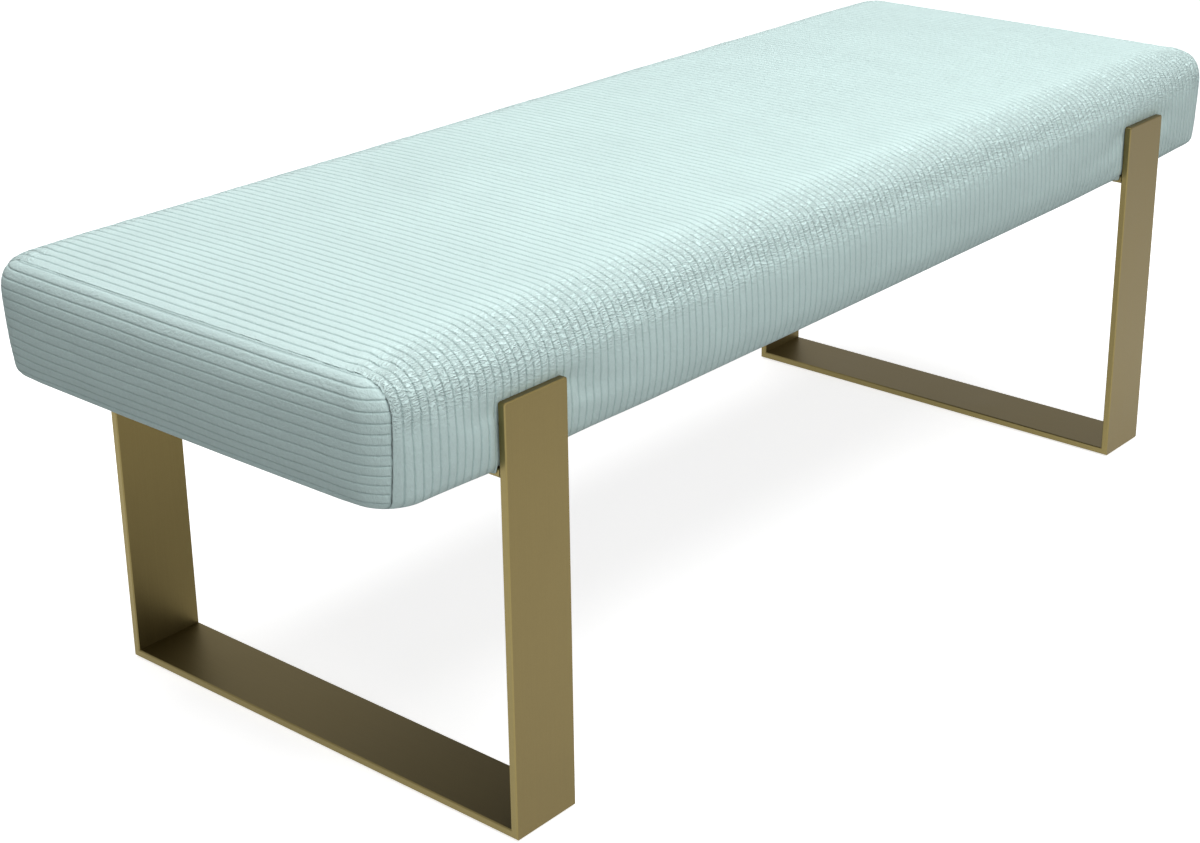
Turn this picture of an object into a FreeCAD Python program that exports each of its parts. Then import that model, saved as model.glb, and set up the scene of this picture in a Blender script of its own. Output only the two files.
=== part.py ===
import FreeCAD, Part
import math
import os
import Sketcher
from FreeCAD import Placement, Rotation, Vector

# Upholstered bench: a crowned, corduroy covered cushion that sits in two leg frames of flat bar.
# Millimetres, +X along the bench, +Y towards its back, +Z up.
# The origin is on the floor, under the middle of the bench.
#
# Each leg frame is four mitred and butted bars: two uprights, a bottom bar and a crossbar.
# The uprights stand outside the cushion and end half way up its sides.
# The crossbar runs under the cushion and is bolted to it from below.
# The cushion is a wooden frame with a plywood deck, foam on top and round the sides,
# a wadding layer, a cover in three panels and a dust cover below.
# Its padded rim hangs below the crossbars' upper faces, which is why it has two notches.

# Driving sizes: name, millimetres (or a count), meaning
SIZES = (
    ("bench_length", 1386, "cushion from end to end"),
    ("frame_depth", 520, "over the outer faces of the uprights"),
    ("leg_spacing", 1045, "between the middles of the two leg frames"),
    ("bar_wide", 76, "flat bar of the leg frames, width"),
    ("bar_thick", 8, "flat bar of the leg frames, thickness"),
    ("upright_tall", 408, "upright, from the floor pad to its top end"),
    ("seat_bar_top", 351, "floor to the crossbar's upper face"),
    ("edge_bevel", 1, "small bevel along the bars' edges"),
    ("end_round", 2.5, "rounded corners at an upright's top end"),
    ("pad_thick", 2, "felt pad under the bottom bar, thickness"),
    ("pad_wide", 60, "felt pad, across the bar"),
    ("pad_long", 40, "felt pad, along the bar"),
    ("pad_inset", 12, "felt pad, from the outer end of the bar"),
    ("cushion_gap", 0.3, "between the cushion's side and an upright"),
    ("shoulder_top", 461, "floor to where the top rounding ends"),
    ("crown", 3.5, "rise of the top between its shoulders"),
    ("rim_drop", 7.5, "how far the padded rim hangs below the crossbar's upper face"),
    ("plan_round", 36, "upright corners of the cushion, radius"),
    ("top_round_in", 42, "top rounding, measured inwards"),
    ("top_round_down", 36, "top rounding, measured downwards"),
    ("rim_round", 9, "rounding under the rim"),
    ("side_belly", 2, "swell of the sides between rim and top rounding"),
    ("side_bow", 2, "the corners lie this far inside the middle of the long sides"),
    ("end_bow", 3, "the corners lie this far inside the middle of the ends"),
    ("end_taper", 6, "how far the ends draw in from the top rounding down to the rim"),
    ("seam_inset", 25, "seam between main panel and end panel, from the end"),
    ("cover_thick", 2, "corduroy cover"),
    ("wadding_thick", 5, "polyester wadding"),
    ("side_foam", 15, "foam strips round the wooden frame"),
    ("layer_gap", 0.3, "between two curved layers of the padding"),
    ("cover_margin", 45, "cover turned under the wooden frame"),
    ("dust_cover_thick", 0.8, "dust cover"),
    ("dust_cover_gap", 1, "dust cover, from the rim"),
    ("notch_gap", 1, "each side of a crossbar in the rim's notch"),
    ("rail_thick", 22, "rails of the wooden frame, thickness"),
    ("rail_tall", 44, "rails of the wooden frame, height"),
    ("rail_round", 14, "outer corners of rails and deck, radius"),
    ("cross_rail_wide", 90, "flat rail over a crossbar, width"),
    ("cross_rail_thick", 20, "flat rail over a crossbar, thickness"),
    ("deck_thick", 12, "plywood deck"),
    ("housing_deep", 6, "groove in a long rail that holds the end of a cross piece"),
    ("block_leg", 55, "corner block, leg of its triangle"),
    ("bolt_count", 2, "bolts through one crossbar"),
    ("bolt_pitch", 300, "from bolt to bolt"),
    ("bolt_size", 8, "bolt shank, diameter"),
    ("bolt_long", 35, "bolt under its head"),
    ("bolt_head_flats", 13, "hexagon head, across flats"),
    ("bolt_head_tall", 5.3, "hexagon head, height"),
    ("bolt_clear", 1, "bolt hole wider than the bolt"),
    ("thread_clear", 0.2, "washer and insert bore wider than the bolt"),
    ("washer_size", 17, "washer, diameter"),
    ("washer_thick", 1.6, "washer, thickness"),
    ("insert_size", 12, "threaded insert, diameter; it is as long as the cross rail is thick"),
)

# Places that follow from the driving sizes: name, formula
PLACES = (
    ("leg_x", "sizes.leg_spacing / 2"),
    ("frame_side", "sizes.frame_depth / 2"),
    ("inner_side", "frame_side - sizes.bar_thick"),
    ("inner_gap", "2 * inner_side"),
    ("crossbar_low", "sizes.seat_bar_top - sizes.bar_thick"),
    ("fabric_low", "sizes.seat_bar_top + sizes.dust_cover_thick"),
    ("rail_low", "fabric_low + sizes.cover_thick"),
    ("rail_top", "rail_low + sizes.rail_tall"),
    ("deck_top", "rail_top + sizes.deck_thick"),
    ("rim_low", "sizes.seat_bar_top - sizes.rim_drop"),
    ("cushion_end", "sizes.bench_length / 2"),
    ("cushion_side", "inner_side - sizes.cushion_gap"),
    ("wadding_out", "sizes.cover_thick + sizes.layer_gap"),
    ("wadding_in", "wadding_out + sizes.wadding_thick"),
    ("foam_out", "wadding_in + sizes.layer_gap"),
    ("wood_end", "cushion_end - foam_out - sizes.side_foam"),
    ("wood_side", "cushion_side - foam_out - sizes.side_foam"),
    ("wood_inner_end", "wood_end - sizes.rail_thick"),
    ("wood_inner_side", "wood_side - sizes.rail_thick"),
    ("cross_side", "wood_inner_side + sizes.housing_deep"),
    ("cross_long", "2 * cross_side"),
    ("end_rail_x", "wood_end - sizes.rail_thick / 2"),
    ("seam_x", "cushion_end - sizes.seam_inset"),
    ("beyond_end", "cushion_end + sizes.rail_thick"),
    ("above_all", "2 * deck_top"),
    ("bolt_row", "sizes.bolt_pitch * (sizes.bolt_count - 1)"),
    ("bolt_hole", "sizes.bolt_size + sizes.bolt_clear"),
    ("bolt_low", "crossbar_low - sizes.washer_thick"),
    ("thread_bore", "sizes.bolt_size + sizes.thread_clear"),
)

# How the cushion's outline changes on its way up and in
CORNER_SHRINK = 0.45    # corner radius lost for each millimetre inwards
CORNER_LEAST = 12       # smallest corner radius of an outline
SIDE_STRAIGHT = 0.88    # share of a long side that isn't drawn in
END_STRAIGHT = 0.6      # the same on an end
RIM_LEAST = 3           # smallest rounding under the rim of an inner layer
OUTER_STEPS = (2, 4, (0.35, 0.75))      # of rim and top rounding, and outlines of the crown
INNER_STEPS = (1, 3, (0.6,))            # the same on the layers that the cover hides
SAME = 1e-6             # lengths this close are equal
FLAT = 1e-7             # a face this close to a plane is flat

doc = FreeCAD.newDocument("bench")
sheet = doc.addObject("Spreadsheet::Sheet", "sizes")
for row, (name, value, meaning) in enumerate(SIZES, 1):
    sheet.set(f"A{row}", name)
    sheet.set(f"B{row}", str(value))
    sheet.set(f"C{row}", meaning)
    sheet.setAlias(f"B{row}", name)
doc.recompute()
places = doc.addObject("Spreadsheet::Sheet", "places")
for row, (name, formula) in enumerate(PLACES, 1):
    places.set(f"A{row}", name)
    places.set(f"B{row}", "=" + formula)
    places.setAlias(f"B{row}", name)
doc.recompute()

NODES = []


def size(name):
    """A driving size as a number."""
    return float(sheet.get(name))


def place(name):
    """A derived place as a number."""
    return float(places.get(name))


def node(item, label):
    """Name a finished sub-part and keep it for the export."""
    item.Label = label
    NODES.append(item)
    return item


def bind(item, **formulas):
    """Bind properties to the sheets; a double underscore stands for a dot."""
    for path, formula in formulas.items():
        item.setExpression(path.replace("__", "."), formula)


def put(item, x="0", y="0", z="0", turn=0):
    """Place an item by formulas, turned about the upright axis."""
    item.Placement = Placement(Vector(), Rotation(Vector(0, 0, 1), turn))
    bind(item, Placement__Base__x=x, Placement__Base__y=y, Placement__Base__z=z)
    return item


def new_body(name):
    return doc.addObject("PartDesign::Body", name)


def origin_plane(body, role):
    """One of a body's own origin planes."""
    return next(item for item in body.Origin.OriginFeatures if item.Role == role)


def new_sketch(body, role, lift="0"):
    """An empty sketch on one of the body's origin planes, lifted off it by a formula."""
    sketch = body.newObject("Sketcher::SketchObject", body.Name + "_sketch")
    sketch.AttachmentSupport = (origin_plane(body, role), [""])
    sketch.MapMode = "FlatFace"
    bind(sketch, AttachmentOffset__Base__z=lift)
    return sketch


def number(formula):
    """The present value of a formula."""
    value = sheet.evalExpression(formula)
    return float(getattr(value, "Value", value))


def fix_point(sketch, line, end, across, up):
    """Hold one end of a line at formulas measured from the sketch's origin."""
    for kind, formula in (("DistanceX", across), ("DistanceY", up)):
        index = sketch.addConstraint(Sketcher.Constraint(kind, -1, 1, line, end, 1.0))
        sketch.setExpression(f"Constraints[{index}]", formula)


def outline(sketch, corners):
    """A closed outline of straight lines through corners that are pairs of formulas."""
    values = [Vector(number(across), number(up), 0) for across, up in corners]
    first = sketch.GeometryCount
    count = len(corners)
    for index in range(count):
        line = Part.LineSegment(values[index], values[(index + 1) % count])
        sketch.addGeometry(line, False)
    for index in range(count):
        following = first + (index + 1) % count
        sketch.addConstraint(Sketcher.Constraint("Coincident", first + index, 2, following, 1))
    for index, (across, up) in enumerate(corners):
        fix_point(sketch, first + index, 1, across, up)
    return sketch


def rectangle(sketch, left, right, low, high):
    """A rectangle between four formulas."""
    return outline(sketch, ((left, low), (right, low), (right, high), (left, high)))


def circle(sketch, diameter, across="0", up="0"):
    """A circle whose diameter and centre are formulas."""
    centre = Vector(number(across), number(up), 0)
    index = sketch.addGeometry(Part.Circle(centre, Vector(0, 0, 1), number(diameter) / 2), False)
    held = sketch.addConstraint(Sketcher.Constraint("Diameter", index, number(diameter)))
    sketch.setExpression(f"Constraints[{held}]", diameter)
    fix_point(sketch, index, 3, across, up)
    return sketch


def pad(body, sketch, length, both_ways=False):
    """Raise a sketch into a solid."""
    raised = body.newObject("PartDesign::Pad", body.Name + "_pad")
    raised.Profile = sketch
    raised.SideType = "Symmetric" if both_ways else "One side"
    bind(raised, Length=length)
    doc.recompute()
    return raised


def pocket(body, sketch, depth):
    """Cut a sketch into the solid, and make sure that it took something away."""
    before = body.Shape.Volume
    cut = body.newObject("PartDesign::Pocket", body.Name + "_pocket")
    cut.Profile = sketch
    bind(cut, Length=depth)
    doc.recompute()
    if not body.Shape.Volume < before:
        raise RuntimeError(f"the pocket in {body.Name} cuts nothing")
    return cut


def repeat(body, features, role, length, count, second=None):
    """Repeat features along the normal of an origin plane, and along a second one."""
    pattern = body.newObject("PartDesign::LinearPattern", body.Name + "_pattern")
    pattern.Originals = features
    pattern.Direction = (origin_plane(body, role), [""])
    bind(pattern, Length=length, Occurrences=count)
    if second:
        second_role, second_length, second_count = second
        pattern.Direction2 = (origin_plane(body, second_role), [""])
        bind(pattern, Length2=second_length, Occurrences2=second_count)
    body.Tip = pattern
    doc.recompute()
    return pattern


def edges_where(shape, test):
    """Names of the straight edges whose two ends pass a test."""
    names = []
    for index, edge in enumerate(shape.Edges, 1):
        ends = [vertex.Point for vertex in edge.Vertexes]
        if len(ends) == 2 and test(*ends):
            names.append(f"Edge{index}")
    return names


def dress(body, kind, base, test, amount_property, amount):
    """Fillet or chamfer the edges that pass a test."""
    item = body.newObject("PartDesign::" + kind, body.Name + "_" + kind.lower())
    item.Base = (base, edges_where(base.Shape, test))
    bind(item, **{amount_property: amount})
    body.Tip = item
    doc.recompute()
    return item


def near(first, second):
    return abs(first - second) < SAME


def cut(name, base, *tools):
    """Take tools away from a base."""
    for index, tool in enumerate(tools, 1):
        item = doc.addObject("Part::Cut", f"{name}_cut{index}")
        item.Base = base
        item.Tool = tool
        base = item
    doc.recompute()
    return base


def common(name, base, tool):
    """What two shapes share."""
    item = doc.addObject("Part::Common", name + "_common")
    item.Base = base
    item.Tool = tool
    doc.recompute()
    return item


def box(name, low, high):
    """A block between two corners, each three formulas."""
    item = doc.addObject("Part::Box", name)
    spans = [f"({top}) - ({bottom})" for bottom, top in zip(low, high)]
    bind(item, Length=spans[0], Width=spans[1], Height=spans[2])
    return put(item, *low)


def compound(name, parts):
    item = doc.addObject("Part::Compound", name)
    item.Links = parts
    doc.recompute()
    return item


def copy_of(body, name):
    """A linked copy with a place of its own."""
    link = doc.addObject("App::Link", name)
    link.LinkedObject = body
    link.LinkTransform = False
    return link


# Leg frames: flat bar on edge, so that its width shows from the front


def upright(label, x, front):
    """One upright, mitred at the floor to meet the bottom bar."""
    body = new_body(label + "_bar")
    profile = outline(new_sketch(body, "YZ_Plane"), (
        ("0", "0"),
        ("sizes.bar_thick", "sizes.bar_thick"),
        ("sizes.bar_thick", "sizes.upright_tall"),
        ("0", "sizes.upright_tall")))
    raised = pad(body, profile, "sizes.bar_wide", both_ways=True)

    def top_corner(first, second):
        top = near(first.z, size("upright_tall")) and near(second.z, size("upright_tall"))
        return top and near(first.x, second.x)

    def long_edge(first, second):
        return near(first.x, second.x) and near(first.y, second.y) and not near(first.z, second.z)

    rounded = dress(body, "Fillet", raised, top_corner, "Radius", "sizes.end_round")
    dress(body, "Chamfer", rounded, long_edge, "Size", "sizes.edge_bevel")
    side = "-places.frame_side" if front else "places.frame_side"
    put(body, x, side, "sizes.pad_thick", 0 if front else 180)
    return node(body, label)


def bottom_bar(label, x):
    """The bar on the floor, mitred at both ends."""
    body = new_body(label + "_bar")
    profile = outline(new_sketch(body, "YZ_Plane"), (
        ("0", "0"),
        ("sizes.frame_depth", "0"),
        ("sizes.frame_depth - sizes.bar_thick", "sizes.bar_thick"),
        ("sizes.bar_thick", "sizes.bar_thick")))
    raised = pad(body, profile, "sizes.bar_wide", both_ways=True)

    def long_edge(first, second):
        return near(first.x, second.x) and near(first.z, second.z)

    dress(body, "Chamfer", raised, long_edge, "Size", "sizes.edge_bevel")
    put(body, x, "-places.frame_side", "sizes.pad_thick")
    return node(body, label)


def crossbar(label, x):
    """The bar under the cushion, welded between the uprights and drilled for the seat bolts."""
    body = new_body(label + "_bar")
    profile = rectangle(new_sketch(body, "YZ_Plane"), "0", "places.inner_gap", "0", "sizes.bar_thick")
    raised = pad(body, profile, "sizes.bar_wide", both_ways=True)

    def long_edge(first, second):
        return near(first.x, second.x) and near(first.z, second.z)

    dress(body, "Chamfer", raised, long_edge, "Size", "sizes.edge_bevel")
    first_bolt = "(places.inner_gap - places.bolt_row) / 2"
    hole = circle(new_sketch(body, "XY_Plane", "sizes.bar_thick"), "places.bolt_hole", "0", first_bolt)
    drilled = pocket(body, hole, "sizes.bar_thick")
    pattern = repeat(body, [drilled], "XZ_Plane", "places.bolt_row", "sizes.bolt_count")
    pattern.Reversed = True
    put(body, x, "-places.inner_side", "places.crossbar_low")
    return node(body, label)


def floor_pads(label, x):
    """Two felt pads under a bottom bar, glued on near its ends."""
    body = new_body(label + "_pair")
    profile = rectangle(
        new_sketch(body, "XY_Plane"),
        "-sizes.pad_wide / 2", "sizes.pad_wide / 2", "sizes.pad_inset", "sizes.pad_inset + sizes.pad_long")
    raised = pad(body, profile, "sizes.pad_thick")
    gap = "sizes.frame_depth - 2 * sizes.pad_inset - sizes.pad_long"
    pattern = repeat(body, [raised], "XZ_Plane", gap, "2")
    pattern.Reversed = True
    put(body, x, "-places.frame_side")
    return node(body, label)


# Seat bolts, with their washers and threaded inserts


def bolt_group(label, x):
    """Hexagon head bolts that hold the cushion down on a crossbar."""
    body = new_body(label + "_row")
    shank = circle(new_sketch(body, "XY_Plane"), "sizes.bolt_size")
    raised = pad(body, shank, "sizes.bolt_long")
    corner = "sizes.bolt_head_flats / 2 / cos(30)"
    head = outline(new_sketch(body, "XY_Plane"), tuple(
        (f"{corner} * cos({angle})", f"{corner} * sin({angle})") for angle in range(0, 360, 60)))
    hexagon = pad(body, head, "sizes.bolt_head_tall")
    hexagon.Reversed = True
    doc.recompute()
    row = repeat(body, [raised, hexagon], "XZ_Plane", "places.bolt_row", "sizes.bolt_count")
    row.Reversed = True
    put(body, x, "-places.bolt_row / 2", "places.bolt_low")
    return node(body, label)


def ring_group(label, x, z, outer, bore, thick):
    """Flat rings along the bolts of one crossbar."""
    body = new_body(label + "_row")
    sketch = circle(new_sketch(body, "XY_Plane"), outer)
    circle(sketch, bore)
    ring = pad(body, sketch, thick)
    row = repeat(body, [ring], "XZ_Plane", "places.bolt_row", "sizes.bolt_count")
    row.Reversed = True
    put(body, x, "-places.bolt_row / 2", z)
    return node(body, label)


# Wooden frame of the cushion


def long_rail(label, front):
    """A rail along the bench, rounded at its outer corners and grooved for the cross pieces."""
    body = new_body(label + "_timber")
    profile = rectangle(
        new_sketch(body, "XY_Plane"),
        "-places.wood_end", "places.wood_end", "0", "sizes.rail_thick")
    raised = pad(body, profile, "sizes.rail_tall")

    def outer_corner(first, second):
        return near(first.x, second.x) and near(first.y, 0) and near(second.y, 0)

    dress(body, "Fillet", raised, outer_corner, "Radius", "sizes.rail_round")
    groove_low = "sizes.rail_thick - sizes.housing_deep"
    half = "sizes.rail_thick / 2"
    tall = new_sketch(body, "XY_Plane", "sizes.rail_tall")
    for middle in ("-places.end_rail_x", "0", "places.end_rail_x"):
        rectangle(tall, f"{middle} - {half}", f"{middle} + {half}", groove_low, "sizes.rail_thick")
    pocket(body, tall, "sizes.rail_tall")
    half = "sizes.cross_rail_wide / 2"
    low = new_sketch(body, "XY_Plane", "sizes.cross_rail_thick")
    for middle in ("-places.leg_x", "places.leg_x"):
        rectangle(low, f"{middle} - {half}", f"{middle} + {half}", groove_low, "sizes.rail_thick")
    pocket(body, low, "sizes.cross_rail_thick")
    side = "-places.wood_side" if front else "places.wood_side"
    put(body, "0", side, "places.rail_low", 0 if front else 180)
    return node(body, label)


def edge_rail(label, x):
    """A cross piece on edge, glued into the grooves of the long rails."""
    body = new_body(label + "_timber")
    profile = rectangle(
        new_sketch(body, "XY_Plane"),
        "-sizes.rail_thick / 2", "sizes.rail_thick / 2", "0", "places.cross_long")
    pad(body, profile, "sizes.rail_tall")
    put(body, x, "-places.cross_side", "places.rail_low")
    return node(body, label)


def cross_rail(label, x):
    """The flat rail over a crossbar, bored for the threaded inserts."""
    body = new_body(label + "_timber")
    profile = rectangle(
        new_sketch(body, "XY_Plane"),
        "-sizes.cross_rail_wide / 2", "sizes.cross_rail_wide / 2", "0", "places.cross_long")
    pad(body, profile, "sizes.cross_rail_thick")
    first_bolt = "(places.cross_long - places.bolt_row) / 2"
    bore = pocket(body, circle(
        new_sketch(body, "XY_Plane", "sizes.cross_rail_thick"), "sizes.insert_size", "0", first_bolt),
        "sizes.cross_rail_thick")
    row = repeat(body, [bore], "XZ_Plane", "places.bolt_row", "sizes.bolt_count")
    row.Reversed = True
    put(body, x, "-places.cross_side", "places.rail_low")
    return node(body, label)


def corner_blocks():
    """Four glued triangular blocks that stiffen the corners of the wooden frame."""
    block = new_body("corner_block")
    profile = outline(new_sketch(block, "XY_Plane"), (
        ("0", "0"), ("sizes.block_leg", "0"), ("0", "sizes.block_leg")))
    pad(block, profile, "sizes.rail_tall")
    copies = []
    for index, (x, y, turn) in enumerate(((-1, -1, 0), (1, -1, 90), (1, 1, 180), (-1, 1, 270)), 1):
        link = copy_of(block, f"corner_block_{index}")
        put(link, f"{x} * places.wood_inner_end", f"{y} * places.wood_inner_side",
            "places.rail_low", turn)
        copies.append(link)
    return node(compound("corner_block_set", copies), "corner_blocks")


def deck():
    """The plywood deck that carries the foam."""
    body = new_body("deck_board")
    profile = rectangle(
        new_sketch(body, "XY_Plane"),
        "-places.wood_end", "places.wood_end", "-places.wood_side", "places.wood_side")
    raised = pad(body, profile, "sizes.deck_thick")

    def upright_edge(first, second):
        return near(first.x, second.x) and near(first.y, second.y)

    dress(body, "Fillet", raised, upright_edge, "Radius", "sizes.rail_round")
    put(body, "0", "0", "places.rail_top")
    return node(body, "seat_deck")


# Padding and cover: layers of one crowned form


def ring_at(height, inset, bow, taper):
    """One level outline: straight sides, drawn in a little towards four round corners.

    The bow runs from 1 on the sides to 0 on the top, whose sides are plainly straight.
    The taper moves the two ends further in.
    """
    end = place("cushion_end") - inset - taper
    side = place("cushion_side") - inset
    radius = max(size("plan_round") - CORNER_SHRINK * inset, CORNER_LEAST)
    corner_x = end - bow * size("end_bow") - radius
    corner_y = side - bow * size("side_bow") - radius
    slant = radius * math.sqrt(0.5)
    side_x = SIDE_STRAIGHT * corner_x
    end_y = END_STRAIGHT * corner_y
    quarter = (
        (end, end_y),
        (corner_x + radius, corner_y),
        (corner_x + slant, corner_y + slant),
        (corner_x, corner_y + radius),
        (side_x, side))

    edges = []
    for x, y in ((1, 1), (-1, 1), (-1, -1), (1, -1)):
        points = [Vector(x * across, y * along, height) for across, along in quarter]
        if x * y < 0:
            points.reverse()
        if edges:
            edges.append(Part.LineSegment(edges[-1].Vertexes[-1].Point, points[0]).toShape())
        edges.append(Part.LineSegment(points[0], points[1]).toShape())
        edges.append(Part.Arc(*points[1:4]).toShape())
        edges.append(Part.LineSegment(points[3], points[4]).toShape())
    edges.append(Part.LineSegment(edges[-1].Vertexes[-1].Point, edges[0].Vertexes[0].Point).toShape())
    return Part.Wire(edges)


def padded_form(name, inward, steps):
    """The cushion's outer form, or the same form moved inwards by the layers outside it.

    The rim is a quarter round, the sides swell a little, the ends draw in towards the rim, the
    top edge is a large elliptical rounding, and the top rises in a shallow crown.
    """
    rim_steps, top_steps, crown_shares = steps
    rim = max(size("rim_round") - inward, RIM_LEAST)
    round_in = size("top_round_in") - inward
    round_down = size("top_round_down") - inward
    belly = size("side_belly")
    low = place("rim_low") + inward
    shoulder = size("shoulder_top") - inward
    side_low = low + rim
    side_high = shoulder - round_down
    levels = []
    for step in range(rim_steps + 1):
        turn = step / rim_steps * math.pi / 2
        levels.append((side_low - rim * math.cos(turn), belly + rim * (1 - math.sin(turn)), 1))
    levels.append(((side_low + side_high) / 2, 0, 1))
    for step in range(top_steps + 1):
        turn = step / top_steps * math.pi / 2
        bow = math.cos(turn)
        levels.append((side_high + round_down * math.sin(turn), belly + round_in * (1 - bow), bow))
    reach = place("cushion_side") - belly - size("top_round_in")
    for share in crown_shares:
        rise = size("crown") * (1 - (1 - share) ** 2)
        levels.append((shoulder + rise, belly + round_in + share * reach, 0))

    def taper(height):
        return size("end_taper") * max(0, (side_high - height) / (side_high - low)) ** 2

    item = doc.addObject("Part::Feature", name)
    rings = [ring_at(height, inward + inset, bow, taper(height)) for height, inset, bow in levels]
    item.Shape = with_planes(Part.makeLoft(rings, True, True))
    return item


def with_planes(solid):
    """The same solid, with a true plane for each flat four-sided face and two for a twisted one."""
    faces = []
    for face in solid.Faces:
        corners = [vertex.Point for vertex in face.OuterWire.OrderedVertexes]
        straight = all(near(edge.Length, edge.Vertexes[0].Point.distanceToPoint(edge.Vertexes[-1].Point))
                       for edge in face.OuterWire.Edges)
        loops = []
        if straight and len(corners) == 4:
            loops = [corners] if face.findPlane(FLAT) else [corners[:3], corners[2:] + corners[:1]]
        planes = [Part.Face(Part.makePolygon(loop + loop[:1])) for loop in loops]
        faces += planes or [face]
    shell = Part.Shell(faces)
    shell.sewShape()
    return Part.Solid(Part.Shell(shell.Faces))


def underside_tool(name, outward):
    """What the cushion's underside leaves free: its recess and the notches for the crossbars."""
    top = f"places.fabric_low + ({outward})"
    parts = [box(
        name + "_recess",
        (f"-places.wood_end - ({outward})", f"-places.wood_side - ({outward})", "0"),
        (f"places.wood_end + ({outward})", f"places.wood_side + ({outward})", top))]
    for side, sign in (("left", "-"), ("right", "")):
        half = f"sizes.bar_wide / 2 + sizes.notch_gap + ({outward})"
        parts.append(box(
            f"{name}_{side}_notch",
            (f"{sign}places.leg_x - ({half})", "-places.frame_side", "0"),
            (f"{sign}places.leg_x + ({half})", "places.frame_side", top)))
    item = doc.addObject("Part::MultiFuse", name)
    item.Shapes = parts
    doc.recompute()
    return item


def end_box(name, sign, inner):
    """Everything beyond a plane across the bench."""
    low, high = (inner, "places.beyond_end") if sign > 0 else ("-places.beyond_end", f"-{inner}")
    return box(name, (low, "-places.frame_side", "0"), (high, "places.frame_side", "places.above_all"))


def cover_panels():
    """The cover's main panel and two end panels, sewn together at two seams."""
    outside = cut("cover_outside", padded_form("cover_form", 0, OUTER_STEPS),
                  underside_tool("under_cover", "0"))
    inside = cut("cover_inside", padded_form("cover_lining_form", size("cover_thick"), INNER_STEPS),
                 underside_tool("under_lining", "sizes.cover_thick"))
    window = box(
        "cover_window",
        ("-places.wood_end + sizes.cover_margin", "-places.wood_side + sizes.cover_margin", "0"),
        ("places.wood_end - sizes.cover_margin", "places.wood_side - sizes.cover_margin",
         "places.rail_top"))
    whole = cut("cover_whole", outside, inside, window)
    left_box = end_box("left_end_space", -1, "places.seam_x")
    right_box = end_box("right_end_space", 1, "places.seam_x")
    node(cut("main_cover", whole, left_box, right_box), "main_cover_panel")
    node(common("left_cover", whole, left_box), "left_end_panel")
    node(common("right_cover", whole, right_box), "right_end_panel")


def padding_layers():
    """Wadding under the cover, foam on the deck, and foam strips round the wooden frame."""
    free = underside_tool("under_padding", "places.wadding_out")
    outer = padded_form("wadding_form", place("wadding_out"), INNER_STEPS)
    inner = padded_form("wadding_hollow_form", place("wadding_in"), INNER_STEPS)
    node(cut("wadding", outer, inner, free), "wadding_wrap")

    foam = padded_form("foam_form", place("foam_out"), INNER_STEPS)
    below = box("below_deck_top",
                ("-places.cushion_end", "-places.frame_side", "0"),
                ("places.cushion_end", "places.frame_side", "places.deck_top"))
    node(cut("seat_foam", foam, below), "seat_foam")
    wood = box("wood_space",
               ("-places.wood_end", "-places.wood_side", "0"),
               ("places.wood_end", "places.wood_side", "places.deck_top"))
    skirt = cut("foam_skirt", common("foam_low", foam, below), free, wood)
    for side, low, high in (("front", "-places.frame_side", "-places.wood_side"),
                            ("back", "places.wood_side", "places.frame_side")):
        strip = box(f"{side}_strip_space", ("-places.cushion_end", low, "0"),
                    ("places.cushion_end", high, "places.deck_top"))
        node(common(f"{side}_strip", skirt, strip), f"{side}_side_foam")
    for side, low, high in (("left", "-places.cushion_end", "-places.wood_end"),
                            ("right", "places.wood_end", "places.cushion_end")):
        strip = box(f"{side}_strip_space", (low, "-places.wood_side", "0"),
                    (high, "places.wood_side", "places.deck_top"))
        node(common(f"{side}_strip", skirt, strip), f"{side}_side_foam")


def dust_cover(bolt_rows):
    """The cloth that closes the underside, pierced by the bolts."""
    low = ("-places.wood_end + sizes.dust_cover_gap", "-places.wood_side + sizes.dust_cover_gap",
           "sizes.seat_bar_top")
    high = ("places.wood_end - sizes.dust_cover_gap", "places.wood_side - sizes.dust_cover_gap",
            "places.fabric_low")
    return node(cut("dust_cover", box("dust_sheet", low, high), *bolt_rows), "dust_cover")


def build():
    bolt_rows = []
    for side, x in (("left", "-places.leg_x"), ("right", "places.leg_x")):
        upright(f"{side}_front_upright", x, front=True)
        upright(f"{side}_back_upright", x, front=False)
        bottom_bar(f"{side}_bottom_bar", x)
        crossbar(f"{side}_crossbar", x)
        floor_pads(f"{side}_floor_pads", x)
        bolt_rows.append(bolt_group(f"{side}_seat_bolts", x))
        ring_group(f"{side}_bolt_washers", x, "places.bolt_low",
                   "sizes.washer_size", "places.thread_bore", "sizes.washer_thick")
        ring_group(f"{side}_threaded_inserts", x, "places.rail_low",
                   "sizes.insert_size", "places.thread_bore", "sizes.cross_rail_thick")

    long_rail("front_rail", front=True)
    long_rail("back_rail", front=False)
    edge_rail("left_end_rail", "-places.end_rail_x")
    edge_rail("centre_rail", "0")
    edge_rail("right_end_rail", "places.end_rail_x")
    cross_rail("left_cross_rail", "-places.leg_x")
    cross_rail("right_cross_rail", "places.leg_x")
    corner_blocks()
    deck()
    padding_layers()
    cover_panels()
    dust_cover(bolt_rows)


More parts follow.
